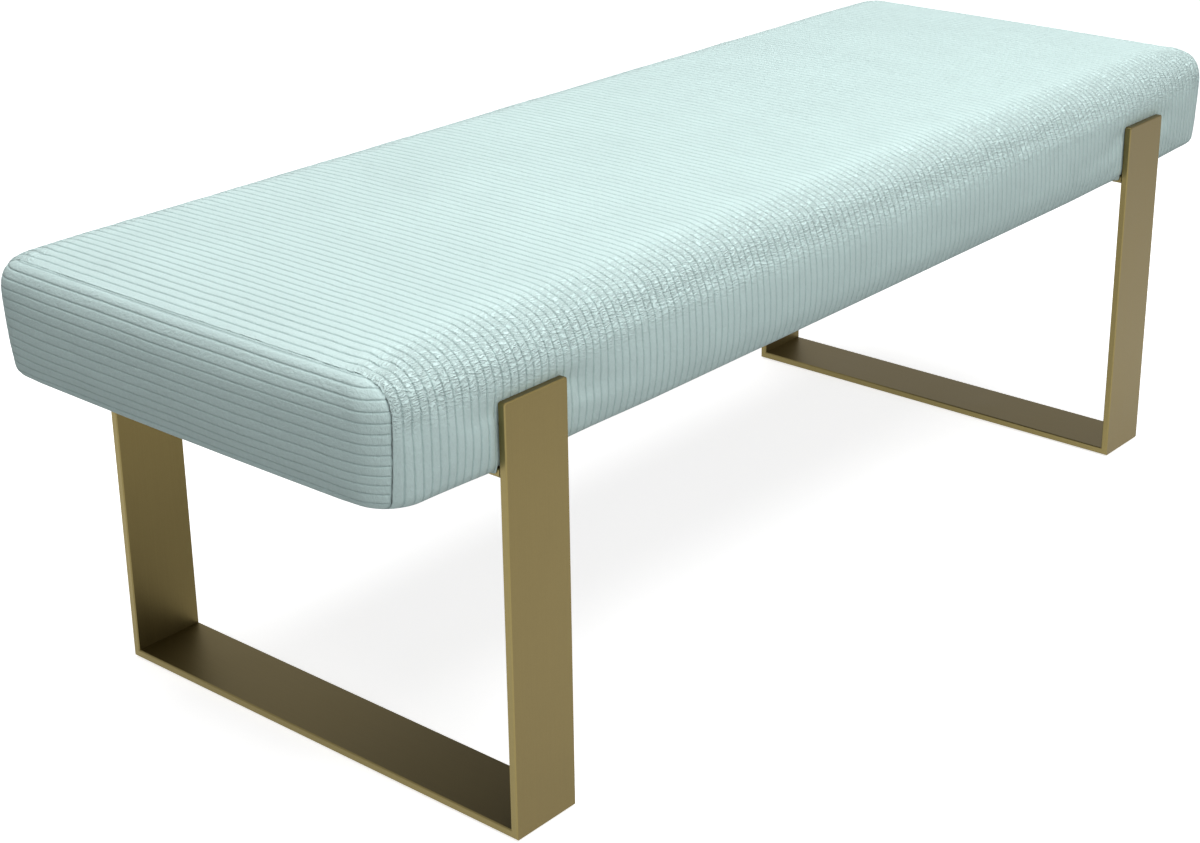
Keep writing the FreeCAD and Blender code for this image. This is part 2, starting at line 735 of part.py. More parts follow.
def check_and_write():
    """Stop on any failed object, then write one file for each sub-part."""
    doc.recompute()
    for item in doc.Objects:
        if {"Invalid", "Error"} & set(item.State):
            raise RuntimeError(f"{item.Name} failed: {item.State}")
    for item in NODES:
        shape = item.Shape
        if shape.isNull() or not shape.isValid() or not shape.Solids:
            raise RuntimeError(f"{item.Label} has no sound solid")
    os.makedirs("parts", exist_ok=True)
    for item in NODES:
        item.Shape.exportStep(f"parts/{item.Label}.step")
        span = item.Shape.BoundBox
        print(f"{item.Label}: {len(item.Shape.Solids)} solid(s), {item.Shape.Volume / 1000:.1f} cm3, "
              f"x {span.XMin:.1f} to {span.XMax:.1f}, y {span.YMin:.1f} to {span.YMax:.1f}, "
              f"z {span.ZMin:.1f} to {span.ZMax:.1f}")


build()
check_and_write()
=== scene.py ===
"""Upholstered bench: the ribbed cushion, its cover details and all finishes, built on the packed frame."""

import math
from functools import partialmethod

import bmesh
import bpy
import numpy as np
from bpy.props import FloatProperty, FloatVectorProperty, IntProperty, PointerProperty
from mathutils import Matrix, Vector


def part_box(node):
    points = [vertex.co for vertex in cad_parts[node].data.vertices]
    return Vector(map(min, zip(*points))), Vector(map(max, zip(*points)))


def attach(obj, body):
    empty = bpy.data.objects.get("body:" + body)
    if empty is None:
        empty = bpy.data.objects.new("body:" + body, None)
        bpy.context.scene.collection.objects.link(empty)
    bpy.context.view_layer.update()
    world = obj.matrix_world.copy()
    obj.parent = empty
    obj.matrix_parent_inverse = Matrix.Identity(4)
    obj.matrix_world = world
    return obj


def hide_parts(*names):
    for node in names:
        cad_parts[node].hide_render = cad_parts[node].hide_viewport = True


bl_info = {
    "name": "Upholstered bench",
    "version": (1, 0, 0),
    "blender": (4, 5, 0),
    "location": "View3D > Sidebar > Bench",
    "description": "Builds the bench's cushion, trim and finishes on its frame",
    "category": "Object",
}

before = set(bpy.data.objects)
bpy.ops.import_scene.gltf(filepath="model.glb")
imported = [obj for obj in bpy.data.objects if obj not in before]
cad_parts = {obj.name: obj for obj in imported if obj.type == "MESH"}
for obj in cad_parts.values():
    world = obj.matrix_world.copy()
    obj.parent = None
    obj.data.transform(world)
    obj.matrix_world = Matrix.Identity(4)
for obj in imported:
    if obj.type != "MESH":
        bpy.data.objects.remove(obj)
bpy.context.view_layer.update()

SOFT_NODES = ("main_cover_panel", "left_end_panel", "right_end_panel", "wadding_wrap", "seat_foam",
              "front_side_foam", "back_side_foam", "left_side_foam", "right_side_foam")
SIDES = ("left", "right")

END_PITCH = 0.0091        # from one groove to the next on the end panels
CLOTH_FRAMES = 20

# The cushion's form: start and end of each soft step, in metres or as parts of a half size
CROWN_HEIGHTS = (0.424, 0.456)     # where the crown comes in
FADE_HEIGHT = 0.045                # how far up a rise of the lower edge reaches
CORNER_SHRINK = 0.66               # how much a ring's corners tighten as it draws in
CORNER_SPREAD = 0.004              # how much the corners widen at the foot
LEAST_RADIUS = 0.010
BAR_EDGE = (0.0380, 0.0392)        # from a crossbar's middle to where the lower edge drops back
CORNER_RISE, CORNER_ALONG, CORNER_ACROSS = 0.0040, (0.50, 0.665), (0.4, 0.95)
OUTER_RISE, OUTER_ALONG = 0.0012, (0.36, 0.46)
END_RISE, END_ALONG = 0.0018, (0.60, 0.67)

# Heights, places across and distances from a crossbar's middle of the sides' swelling
SWELL_UP, SWELL_OUT, SWELL_ACROSS = 0.378, (0.392, 0.425), (0.9, 0.98)
SWELL_BAR, SWELL_ALONG = (0.0385, 0.046), (0.60, 0.68)
CHEEK_UP, CHEEK_OUT, CHEEK_ACROSS = (0.350, 0.359), (0.388, 0.402), (0.85, 0.97)
CHEEK_BAR, CHEEK_END = (0.0385, 0.041), (0.045, 0.075)
PRESSED_BAR, PRESSED_ACROSS, PRESSED = (0.0385, 0.0420), (0.85, 0.93), 0.85
LIP_WIDTH = 0.0022

# Where the cloth run holds the mesh: below a height, and beside the uprights up to a height
HELD_BELOW = 0.354
HELD_BESIDE, HELD_OUT, HELD_UP_TO = 0.040, 0.2475, 0.412

# The top corners of the seams that are eased after the run: heights, places across, distances from the seam
CORNER_UP, CORNER_OUT, CORNER_NEAR, CORNER_ROUNDS = (0.428, 0.440), (0.160, 0.190), (0.007, 0.014), 24

# The relief starts above the lower edge; the second stitch line is on part of the end panels only
RELIEF_FROM = (0.3485, 0.3560)
STITCH_GAP, STITCH_STARTS, STITCH_ENDS = 0.0028, (-0.20, -0.14), (0.05, 0.11)


def length(name, text, default, low=0.0, high=5.0):
    """A size in metres that a user can change."""
    return FloatProperty(name=name, description=text, default=default, min=low, max=high,
                         precision=4, subtype="DISTANCE", unit="LENGTH")


def tint(name, text, default):
    """A colour that a user can change."""
    return FloatVectorProperty(name=name, description=text, default=default, size=3, min=0.0, max=1.0,
                               subtype="COLOR")


def amount(name, text, default, low=0.0, high=1.0):
    """A plain number that a user can change."""
    return FloatProperty(name=name, description=text, default=default, min=low, max=high)


class BenchCushion(bpy.types.PropertyGroup):
    """Sizes of the cushion."""

    half_long: length("Half length", "Half of the cushion's length", 0.6942)
    half_deep: length("Half depth", "Half of the cushion's depth", 0.2517)
    shift: length("Shift", "How far the cushion sits off the frames' middle", 0.0058, -0.05, 0.05)
    foot: length("Lower edge", "Height of the lower edge at mid length", 0.3448)
    shoulder: length("Shoulder", "Height of the top's edge", 0.4610)
    ridge: length("Ridge", "How far the whole top rises along its middle", 0.0039)
    crown: length("Crown", "Rise of the top at its middle", 0.0035)
    corner: length("Corner radius", "Radius of the upright corners", 0.0330)
    side_round_in: length("Side rounding, in", "Depth of the long top edges' rounding", 0.0420)
    side_round_down: length("Side rounding, down", "Height of the long top edges' rounding", 0.0400)
    end_round_in: length("End rounding, in", "Depth of the short top edges' rounding", 0.0380)
    end_round_down: length("End rounding, down", "Height of the short top edges' rounding", 0.0340)
    fullness: amount("Fullness", "Power of the top roundings; 2 is an ellipse, more is fuller", 2.7, 2.0, 6.0)
    foot_round: length("Foot rounding", "Radius of the lower edges", 0.0090)
    end_taper: length("End taper", "How far the ends draw in at the foot", 0.0055)
    end_taper_from: length("Taper start", "Height above the foot where the ends start to draw in", 0.0860)
    side_bow: length("Side bow", "How far the long sides bow out at their middle", 0.0020)
    end_bow: length("End bow", "How far the ends bow out at their middle", 0.0030)
    seam_in: length("Seam", "From the ends to the seams", 0.0160)
    ribs: IntProperty(name="Ribs", description="Number of ribs between the two seams", default=149, min=20, max=400)
    first_rib: length("First end rib", "From the seam to the first groove on the end panels", 0.0112)
    cheek: length("Cheeks", "How far the sides press out beside the uprights", 0.0013)
    bulge: length("Bulge", "How far the sides swell between and beside the uprights", 0.0016)
    lift: length("Crossbar lift", "How far the lower edge rises over a crossbar", 0.0074)
    cloth_pull: amount("Cloth stiffness", "How much the cover resists stretching in the cloth run", 40.0, 1.0, 500.0)
    cloth_cap: length("Cloth movement", "Furthest that the cloth run moves a point", 0.0030)
    step: length("Row spacing", "Spacing of the mesh across the ribs' length", 0.0055)


class BenchTrim(bpy.types.PropertyGroup):
    """Sizes of the floor pads, the dust cover and its staples."""

    pad_long: length("Pad length", "Length of a felt pad along the bar", 0.0400)
    pad_edge: length("Pad edge", "Rounding of a felt pad's edges", 0.0007)
    hem: length("Hem", "Width of the dust cover's turned hem", 0.0130)
    sag: length("Sag", "How far the dust cover sags between its fixings", 0.0006)
    staple: length("Staple", "Width of a staple's crown", 0.0110)
    staple_pitch: length("Staple spacing", "From one staple to the next", 0.0420)


class BenchRelief(bpy.types.PropertyGroup):
    """Sizes of the cover's relief."""

    depth: length("Groove depth", "Depth of the grooves between ribs", 0.0008)
    width: length("Groove width", "Width of a groove", 0.0009)
    wave: length("Wave", "How far the ribs wander", 0.0009)
    swell: length("Swell", "Softness of the surface", 0.0012)
    pinch: length("Seam pinch", "How far the seams draw in", 0.0006)


class BenchColours(bpy.types.PropertyGroup):
    """Colours of the finishes."""

    rib: tint("Ribs", "Colour of the corduroy's ribs", (0.618, 0.783, 0.767))
    # The grooves' darker colour is painted shade.
    groove: tint("Grooves", "Colour of the grooves between ribs", (0.440, 0.590, 0.580))
    gold: tint("Antique gold", "Colour of the bars", (0.155, 0.120, 0.046))
    # A painted highlight: the bars' faces that point along the bench's length get this lighter colour.
    gold_painted_highlight: tint("Painted highlight", "Colour of the bars' narrow faces", (0.235, 0.190, 0.078))
    felt: tint("Felt", "Colour of the floor pads", (0.045, 0.038, 0.032))
    cloth: tint("Dust cloth", "Colour of the cloth under the seat", (0.016, 0.016, 0.017))
    zinc: tint("Zinc", "Colour of the bolts and washers", (0.60, 0.60, 0.58))
    wood: tint("Hardwood", "Colour of the wooden frame", (0.55, 0.39, 0.22))
    ply: tint("Plywood", "Colour of the deck", (0.62, 0.47, 0.29))


class BenchStage(bpy.types.PropertyGroup):
    """Values of the floor, the lamps and the camera."""

    floor: amount("Floor", "Brightness of the floor for the camera", 0.93)
    bounce: amount("Bounce", "How much light the floor throws back", 0.42)
    sky: amount("Sky", "Strength of the world's light", 0.20)
    top_lamp: FloatProperty(name="Top lamp", description="Power of the lamp above", default=97.0, min=0.0,
                            unit="POWER")
    front_lamp: FloatProperty(name="Front lamp", description="Power of the lamp in front", default=27.0, min=0.0,
                              unit="POWER")
    lens: FloatProperty(name="Lens", description="Focal length in millimetres", default=66.006, min=10.0, max=300.0)


GROUPS = {"bench_cushion": BenchCushion, "bench_trim": BenchTrim, "bench_relief": BenchRelief,
          "bench_colours": BenchColours, "bench_stage": BenchStage}


def assign(thing, **values):
    """Sets several attributes of a thing."""
    for name, value in values.items():
        setattr(thing, name, value)


# Shader and node maths

class Sock:
    """A node socket that takes part in sums."""

    def __init__(self, tree, socket):
        self.tree = tree
        self.socket = socket

    def _math(self, operation, *others, clamp=False):
        node = self.tree.nodes.new("ShaderNodeMath")
        node.operation = operation
        node.use_clamp = clamp
        for index, value in enumerate((self,) + others):
            if isinstance(value, Sock):
                self.tree.links.new(value.socket, node.inputs[index])
            else:
                node.inputs[index].default_value = value
        return Sock(self.tree, node.outputs[0])

    __add__ = partialmethod(_math, "ADD")
    __sub__ = partialmethod(_math, "SUBTRACT")
    __mul__ = partialmethod(_math, "MULTIPLY")
    __truediv__ = partialmethod(_math, "DIVIDE")
    __neg__ = partialmethod(_math, "MULTIPLY", -1.0)
    power = partialmethod(_math, "POWER")
    exp = partialmethod(_math, "EXPONENT")
    sin = partialmethod(_math, "SINE")
    fract = partialmethod(_math, "FRACT")
    size = partialmethod(_math, "ABSOLUTE")
    most = partialmethod(_math, "MAXIMUM")
    clamp = partialmethod(_math, "ADD", 0.0, clamp=True)

    def __rsub__(self, other):
        return -self + other

    def bell(self, width):
        """1 at 0, falling off smoothly on both sides."""
        return (-(self / width).power(2.0)).exp()

    def over(self, low, high):
        """0 below low, 1 above high, a smooth step between."""
        node = self.tree.nodes.new("ShaderNodeMapRange")
        node.interpolation_type = "SMOOTHSTEP"
        self.tree.links.new(self.socket, node.inputs["Value"])
        node.inputs["From Min"].default_value = low
        node.inputs["From Max"].default_value = high
        return Sock(self.tree, node.outputs["Result"])


class Tree:
    """Adds nodes to a node tree, with settings first and then values or links of the sockets."""

    def __init__(self, tree):
        self.tree = tree

    def node(self, kind, settings=None, **sockets):
        node = self.tree.nodes.new(kind)
        assign(node, **(settings or {}))
        self.fill(node, **sockets)
        return node

    def fill(self, node, **sockets):
        """Sets or links sockets of a node by their names."""
        for name, value in sockets.items():
            self.put(self._find(node.inputs, name), value)

    @staticmethod
    def _find(sockets, name):
        wanted = name.replace("_", " ").lower()
        if wanted[:2] == "in" and wanted[2:].isdigit():
            return sockets[int(wanted[2:])]
        for socket in sockets:
            if socket.name.lower() == wanted and socket.enabled:
                return socket
        raise KeyError(name)

    def put(self, socket, value):
        if isinstance(value, Sock):
            self.tree.links.new(value.socket, socket)
        elif isinstance(value, (tuple, list)) and len(value) == 3 and socket.type == "RGBA":
            socket.default_value = (*value, 1.0)
        else:
            socket.default_value = value

    def out(self, kind, settings=None, output=0, **sockets):
        node = self.node(kind, settings, **sockets)
        return Sock(self.tree, node.outputs[output])

    def mix(self, factor, first, second):
        """A colour between two colours."""
        node = self.tree.nodes.new("ShaderNodeMix")
        node.data_type = "RGBA"
        self.put(node.inputs[0], factor)
        self.put(node.inputs[6], first)
        self.put(node.inputs[7], second)
        return Sock(self.tree, node.outputs[2])

    def shades(self, factor, colour, low, high):
        """A colour between a darker and a lighter shade of one colour."""
        return self.mix(factor, tuple(c * low for c in colour), tuple(min(1.0, c * high) for c in colour))

    def named(self, name):
        """A number that the mesh holds for each vertex."""
        if self.tree.type == "GEOMETRY":
            return self.out("GeometryNodeInputNamedAttribute", {"data_type": "FLOAT"}, Name=name)
        return self.out("ShaderNodeAttribute", {"attribute_name": name}, output=2)

    def noise(self, vector, scale, detail=2.0, rough=0.5):
        """Smooth noise from 0 to 1 about 0.5, by one scale or by one for each axis."""
        if isinstance(scale, tuple):
            vector, scale = self.stretched(vector, scale), 1.0
        return self.out("ShaderNodeTexNoise", {"noise_dimensions": "3D"}, output=0,
                        Vector=vector, Scale=scale, Detail=detail, Roughness=rough)

    def stretched(self, vector, scale):
        """The vector with each axis scaled."""
        return self.out("ShaderNodeVectorMath", {"operation": "MULTIPLY"}, in0=vector, in1=scale)

    def along(self, vector):
        """The three parts of a vector."""
        node = self.node("ShaderNodeSeparateXYZ", None, Vector=vector)
        return [Sock(self.tree, output) for output in node.outputs]


def new_material(name):
    """A material with one principled shader, its tree and that shader."""
    material = bpy.data.materials.new(name)
    material.use_nodes = True
    tree = Tree(material.node_tree)
    shader = material.node_tree.nodes["Principled BSDF"]
    return material, tree, shader


def bumped(tree, shader, height, strength, distance):
    """Feeds a height to the shader's normal."""
    bump = tree.out("ShaderNodeBump", None, Height=height, Strength=strength, Distance=distance)
    tree.put(shader.inputs["Normal"], bump)


def object_place(tree):
    """Object coordinates."""
    return tree.out("ShaderNodeTexCoord", None, output=3)


# Meshes

def add_object(name, mesh):
    """A new object for a mesh, in the scene."""
    thing = bpy.data.objects.new(name, mesh)
    bpy.context.scene.collection.objects.link(thing)
    return thing


def mesh_of(name, points, faces):
    """A smooth-shaded mesh from points and faces."""
    mesh = bpy.data.meshes.new(name)
    mesh.from_pydata(points, [], faces)
    mesh.validate()
    mesh.shade_smooth()
    mesh.update()
    return mesh


def smooth(low, high, value):
    """0 below low, 1 above high, a smooth step between."""
    t = np.clip((value - low) / (high - low), 0.0, 1.0)
    return t * t * (3.0 - 2.0 * t)


def eased(low, high, count):
    """Numbers from low to high, closer together at both ends."""
    return low + (high - low) * (0.5 - 0.5 * np.cos(np.linspace(0.0, math.pi, count)))


def run_along(points):
    """The distance along a polyline at each of its points."""
    return np.concatenate([[0.0], np.cumsum(np.linalg.norm(np.diff(points, axis=0), axis=1))])


def bar_middles():
    """The crossbars' places along the length."""
    return [(low[0] + high[0]) / 2 for low, high in (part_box(f"{side}_crossbar") for side in SIDES)]


def bar_distance(x, bars):
    """From places along the length to the nearest crossbar's middle."""
    return np.min([np.abs(x - place) for place in bars], axis=0)


def resampled(points, keys):
    """Points of a polyline at given fractions of its length."""
    run = run_along(points)
    wanted = np.asarray(keys) * run[-1]
    return np.stack([np.interp(wanted, run, points[:, axis]) for axis in range(points.shape[1])], axis=1)


class CushionForm:
    """The cushion's form, as rounded level rings whose size changes with height."""

    def __init__(self, values, recess):
        self.v = values
        self.recess = recess
        self.seam = values.half_long - values.seam_in
        heights = np.linspace(values.foot, values.shoulder, 4001)
        inset = self.end_inset(heights)
        middle = int(np.argmin(inset))
        self.low_heights = heights[:middle + 1][::-1]
        self.low_insets = np.maximum.accumulate(inset[:middle + 1][::-1])
        self.high_heights = heights[middle:]
        self.high_insets = np.maximum.accumulate(inset[middle:])

    def top_inset(self, height, inwards, down):
        s = np.clip((height - (self.v.shoulder - down)) / down, 0.0, 1.0)
        return inwards * (1.0 - (1.0 - s ** self.v.fullness) ** (1.0 / self.v.fullness))

    def foot_inset(self, height):
        s = np.clip((self.v.foot + self.v.foot_round - height) / self.v.foot_round, 0.0, 1.0)
        return self.v.foot_round * (1.0 - np.sqrt(1.0 - s * s))

    def side_inset(self, height):
        return self.top_inset(height, self.v.side_round_in, self.v.side_round_down) + self.foot_inset(height)

    def end_inset(self, height):
        s = np.clip(1.0 - (height - self.v.foot) / self.v.end_taper_from, 0.0, 1.0)
        return (self.top_inset(height, self.v.end_round_in, self.v.end_round_down) + self.foot_inset(height)
                + self.v.end_taper * s * s)

    def radius(self, height):
        s = np.clip(1.0 - (height - self.v.foot) / self.v.end_taper_from, 0.0, 1.0)
        least = np.minimum(self.side_inset(height), self.end_inset(height))
        return np.maximum(self.v.corner + CORNER_SPREAD * s - CORNER_SHRINK * least, LEAST_RADIUS)

    def half_depth(self, across, height):
        """Half of the depth of the plane section at a place along the length."""
        radius = self.radius(height)
        over = np.clip(abs(across) - (self.v.half_long - self.end_inset(height) - radius), 0.0, radius)
        return self.v.half_deep - self.side_inset(height) - radius + np.sqrt(radius ** 2 - over ** 2)

    def height_range(self, across):
        """The lowest and highest point of the section at a place along the length."""
        room = self.v.half_long - abs(across)
        low = self.v.foot if room >= self.low_insets[-1] else np.interp(room, self.low_insets, self.low_heights)
        high = self.v.shoulder if room >= self.high_insets[-1] else np.interp(room, self.high_insets,
                                                                             self.high_heights)
        return float(low), float(high)

    def side_line(self, across, keys):
        """Points (y, z) up the front of a section, by fractions of its length."""
        low, high = self.height_range(across)
        heights = eased(low, high, 220)
        line = np.stack([-self.half_depth(across, heights), heights], axis=1)
        return resampled(line, keys)

    def section(self, across, side_keys, top_keys, under_keys):
        """A closed section: up the front, over the top, down the back and under."""
        front = self.side_line(across, side_keys)
        top_y = -front[-1, 0] * (2.0 * np.asarray(top_keys)[1:-1] - 1.0)
        top = np.stack([top_y, np.full(len(top_y), front[-1, 1])], axis=1)
        back = front[::-1] * (-1.0, 1.0)
        half = -front[0, 0]
        under_y = half * (1.0 - 2.0 * np.asarray(under_keys)[1:-1])
        under = np.stack([under_y, np.full(len(under_y), front[0, 1])], axis=1)
        loop = np.concatenate([front, top, back, under])
        return np.concatenate([np.full((len(loop), 1), across), loop], axis=1)

    def ring(self, height, keys):
        """A ring's part beyond the seam's plane, front to back, by fractions of its length."""
        radius = float(self.radius(height))
        run = self.v.half_long - float(self.end_inset(height)) - radius
        deep = self.v.half_deep - float(self.side_inset(height)) - radius
        start = math.asin(min(max((self.seam - run) / radius, 0.0), 1.0))
        turn = np.linspace(start, math.pi / 2, 60)
        arc = np.stack([run + radius * np.sin(turn), -deep - radius * np.cos(turn)], axis=1)
        if run > self.seam:
            arc = np.concatenate([[(self.seam, -deep - radius)], arc])
        line = np.concatenate([arc, (arc * (1.0, -1.0))[::-1]])
        flat = resampled(line, keys)
        return np.concatenate([flat, np.full((len(flat), 1), height)], axis=1)

    def finish(self, points):
        """Adds the bows, the swelling, the crown, the lift over the crossbars and the recess below."""
        v = self.v
        x, y, z = points[:, 0].copy(), points[:, 1].copy(), points[:, 2].copy()
        along = np.clip(np.abs(x) / v.half_long, 0.0, 1.0)
        across = np.clip(np.abs(y) / v.half_deep, 0.0, 1.0)
        top = smooth(*CROWN_HEIGHTS, z)
        low = 1.0 - smooth(v.foot, v.foot + FADE_HEIGHT, z)
        inside = np.minimum(self.recess[0] - np.abs(x), self.recess[1] - np.abs(y))
        floor = (np.abs(z - v.foot) < 0.004) & (inside > -0.001)
        bar = bar_distance(x + v.shift, self.recess[3])
        rise = v.lift * (1.0 - smooth(*BAR_EDGE, bar))
        rise = np.maximum(rise, CORNER_RISE * smooth(*CORNER_ALONG, np.abs(x)) * smooth(*CORNER_ACROSS, across))
        rise = np.maximum(rise, OUTER_RISE * smooth(*OUTER_ALONG, np.abs(x))
                          + END_RISE * smooth(*END_ALONG, np.abs(x)))
        new = points.copy()
        new[:, 0] = x - np.sign(x) * v.end_bow * along ** 8 * across ** 2
        new[:, 1] = y - np.sign(y) * v.side_bow * along ** 2 * across ** 4
        free = smooth(*SWELL_BAR, bar) * (1.0 - smooth(*SWELL_ALONG, np.abs(x)))
        middle = smooth(v.foot, SWELL_UP, z) * (1.0 - smooth(*SWELL_OUT, z)) * smooth(*SWELL_ACROSS, across)
        cheek = smooth(*CHEEK_UP, z) * (1.0 - smooth(*CHEEK_OUT, z)) * (1.0 - smooth(*CHEEK_END, bar))
        pressed = (1.0 - smooth(*PRESSED_BAR, bar)) * smooth(*PRESSED_ACROSS, across)
        new[:, 1] += np.sign(y) * self.foot_inset(z) * PRESSED * pressed
        new[:, 1] += np.sign(y) * (v.bulge * free * middle + v.cheek * smooth(*CHEEK_BAR, bar) * cheek
                                   * smooth(*CHEEK_ACROSS, across))
        crown = v.crown * (1.0 - across ** 2) * (1.0 - along ** 8) + v.ridge * (1.0 - along ** 6)
        new[:, 2] = z + crown * top + rise * low
        lip = smooth(0.0, LIP_WIDTH, inside)
        new[:, 2] = np.where(floor, new[:, 2] * (1.0 - lip) + self.recess[2] * lip, new[:, 2])
        return new


def zipped(first, first_keys, second, second_keys):
    """Triangles between two closed rows of vertices whose keys rise along them."""
    faces = []
    n, m = len(first), len(second)
    i = j = 0
    while i < n or j < m:
        next_i = first_keys[i + 1] if i + 1 < n else 4.0
        next_j = second_keys[j + 1] if j + 1 < m else 4.0
        take_first = j >= m or (i < n and next_i <= next_j)
        if take_first:
            faces.append((first[i % n], first[(i + 1) % n], second[j % m]))
            i += 1
        else:
            faces.append((first[i % n], second[(j + 1) % m], second[j % m]))
            j += 1
    return faces


def flipped(faces):
    """The faces turned over."""
    return [tuple(reversed(face)) for face in faces]


def grid_faces(index, closed):
    """Quads over a grid of vertex numbers, round in its second direction if closed."""
    faces = []
    rows, columns = index.shape
    for i in range(rows - 1):
        for j in range(columns if closed else columns - 1):
            k = (j + 1) % columns
            faces.append((int(index[i, j]), int(index[i + 1, j]), int(index[i + 1, k]), int(index[i, k])))
    return faces


def even_keys(count):
    """Fractions from 0 to 1 in even steps."""
    return np.linspace(0.0, 1.0, count)


def loop_keys(side, top, under):
    """Keys 0 to 4 of a section's vertices: front, top, back and underside."""
    side, top, under = np.asarray(side), np.asarray(top)[1:-1], np.asarray(under)[1:-1]
    return np.concatenate([side * 0.999, 1.0 + top, 2.0 + side * 0.999, 3.0 + under])


class CushionMesh:
    """The cushion's closed surface as one tube of sections and two end patches."""

    def __init__(self, form, columns, side_keys, top_keys, under_keys, levels, around):
        self.form = form
        self.columns = columns
        self.tube_keys = loop_keys(side_keys, top_keys, under_keys)
        self.levels = levels
        self.around = around
        self.tube = np.stack([form.section(x, side_keys, top_keys, under_keys) for x in columns])
        patch = np.stack([form.ring(height, around) for height in levels])
        self.patches = [patch * (-1.0, 1.0, 1.0), patch]

    def points(self):
        both = [self.tube.reshape(-1, 3)] + [patch.reshape(-1, 3) for patch in self.patches]
        return self.form.finish(np.concatenate(both))

    def faces(self):
        rows = self.tube.shape[1]
        tube = np.arange(self.tube.shape[0] * rows).reshape(-1, rows)
        faces = grid_faces(tube, True)
        start = tube.size
        height, width = self.patches[0].shape[:2]
        up = self.side_fractions()
        over = self.seam_line_fractions(-1)
        below = self.seam_line_fractions(0)
        keys = np.concatenate([up * 0.999, 1.0 + over[1:-1], 2.0 + (1.0 - up[::-1]) * 0.999,
                               3.0 + (1.0 - below[-2:0:-1])])
        for number in (0, 1):
            patch = np.arange(height * width).reshape(height, width) + start
            start += patch.size
            own = grid_faces(patch, False)
            rim = np.concatenate([patch[:, 0], patch[-1, 1:-1], patch[::-1, -1], patch[0, -2:0:-1]])
            edge = tube[0] if number == 0 else tube[-1]
            strip = zipped(edge.tolist(), self.tube_keys, rim.tolist(), keys)
            faces += flipped(strip) + own if number == 0 else strip + flipped(own)
        return faces

    def side_fractions(self):
        """The patch rows' places up the seam, as fractions of the seam's side."""
        run = run_along(self.patches[1][:, 0, 1:])
        return run / run[-1]

    def seam_line_fractions(self, row):
        """The places of a patch row that lies on the seam's plane, as fractions front to back."""
        y = self.patches[1][row, :, 1]
        return (y - y[0]) / (y[-1] - y[0])


def end_levels(form, places_from_seam):
    """Heights of the end patch's rows, top row last, for given distances down from the seam."""
    low, high = form.height_range(form.seam)
    heights = eased(low, high, 2000)
    line = np.stack([form.end_inset(heights), heights], axis=1)
    run = run_along(line)
    total = run[-1]
    places = np.asarray(sorted(p for p in places_from_seam if 0.0 < p < total - 0.0002))
    places = np.concatenate([[0.0], places, [total]])
    return np.interp(total - places[::-1], run, heights), places[::-1]


def rib_pitch(values):
    """From one groove to the next on the main panel."""
    return 2.0 * (values.half_long - values.seam_in) / values.ribs


def fine_cushion(form):
    """The full mesh, with its attributes: across (place across the ribs), seam (distance to it) and panel."""
    v = form.v
    pitch = rib_pitch(v)
    near = (0.0008, 0.0016, 0.0026, 0.0040, 0.0056)
    within = (0.0, 0.07, 0.14, 0.30, 0.70, 0.86, 0.93)
    columns = [-form.seam + pitch * (rib + share) for rib in range(v.ribs) for share in within][1:]
    columns = [x for x in columns if form.seam - abs(x) > 0.0062]
    columns += [side * (form.seam - gap) for side in (-1, 1) for gap in near]
    columns = np.array(sorted(columns))
    side_keys = even_keys(int(round(0.136 / v.step)) + 8)
    top_keys = even_keys(int(round(0.420 / v.step)))
    lip = 0.0150 / (2.0 * v.half_deep)
    below = [0.0, lip * 0.45, lip * 0.85, lip, lip + 0.0012, lip + 0.0026, 0.08, 0.14, 0.22, 0.32, 0.42, 0.5]
    under_keys = np.array(sorted(set(below + [1.0 - key for key in below])))
    first = v.first_rib
    rows = [0.0001, 0.0004, 0.0009, 0.0020, 0.0035, 0.0052, 0.0075]
    rows += [first + END_PITCH * (rib + share) for rib in range(16) for share in within]
    rows += [first - END_PITCH * (1.0 - share) for share in within[-3:]]
    levels, places = end_levels(form, rows)
    wide = 0.55
    gaps = [0.0010, 0.0022, 0.0036, 0.0055]
    count = int(round(wide / v.step))
    around = np.concatenate([np.array([0.0] + gaps) / wide, np.linspace(0.0080, wide - 0.0080, count) / wide,
                             1.0 - np.array([0.0] + gaps)[::-1] / wide])
    mesh = CushionMesh(form, columns, side_keys, top_keys, under_keys, levels, around)
    tube_rows = mesh.tube.shape[1]
    across = [np.repeat((columns + form.seam) / pitch, tube_rows)]
    seam = [np.repeat(form.seam - np.abs(columns), tube_rows)]
    panel = [np.zeros(len(columns) * tube_rows)]
    for patch in mesh.patches:
        down = np.repeat(places[:, None], patch.shape[1], axis=1)
        widths = np.linalg.norm(np.diff(patch, axis=1), axis=2).sum(axis=1)
        from_edge = np.minimum(around, 1.0 - around)[None, :] * widths[:, None]
        across.append(((down - first) / END_PITCH).ravel())
        seam.append(np.minimum(down, from_edge).ravel())
        panel.append(np.ones(patch.shape[0] * patch.shape[1]))
    return mesh, np.concatenate(across), np.concatenate(seam), np.concatenate(panel)


def coarse_cushion(form):
    """A light mesh of the same form, for the cloth run."""
    columns = np.linspace(-form.seam + 0.004, form.seam - 0.004, 112)
    side_keys = even_keys(13)
    top_keys = even_keys(36)
    under_keys = np.array([0.0, 0.015, 0.030, 0.036, 0.10, 0.2, 0.3, 0.4, 0.5, 0.6, 0.7, 0.8, 0.9, 0.964, 0.970,
                           0.985, 1.0])
    levels = end_levels(form, [0.004] + [0.010 * k for k in range(1, 14)])[0]
    return CushionMesh(form, columns, side_keys, top_keys, under_keys, levels, even_keys(46))


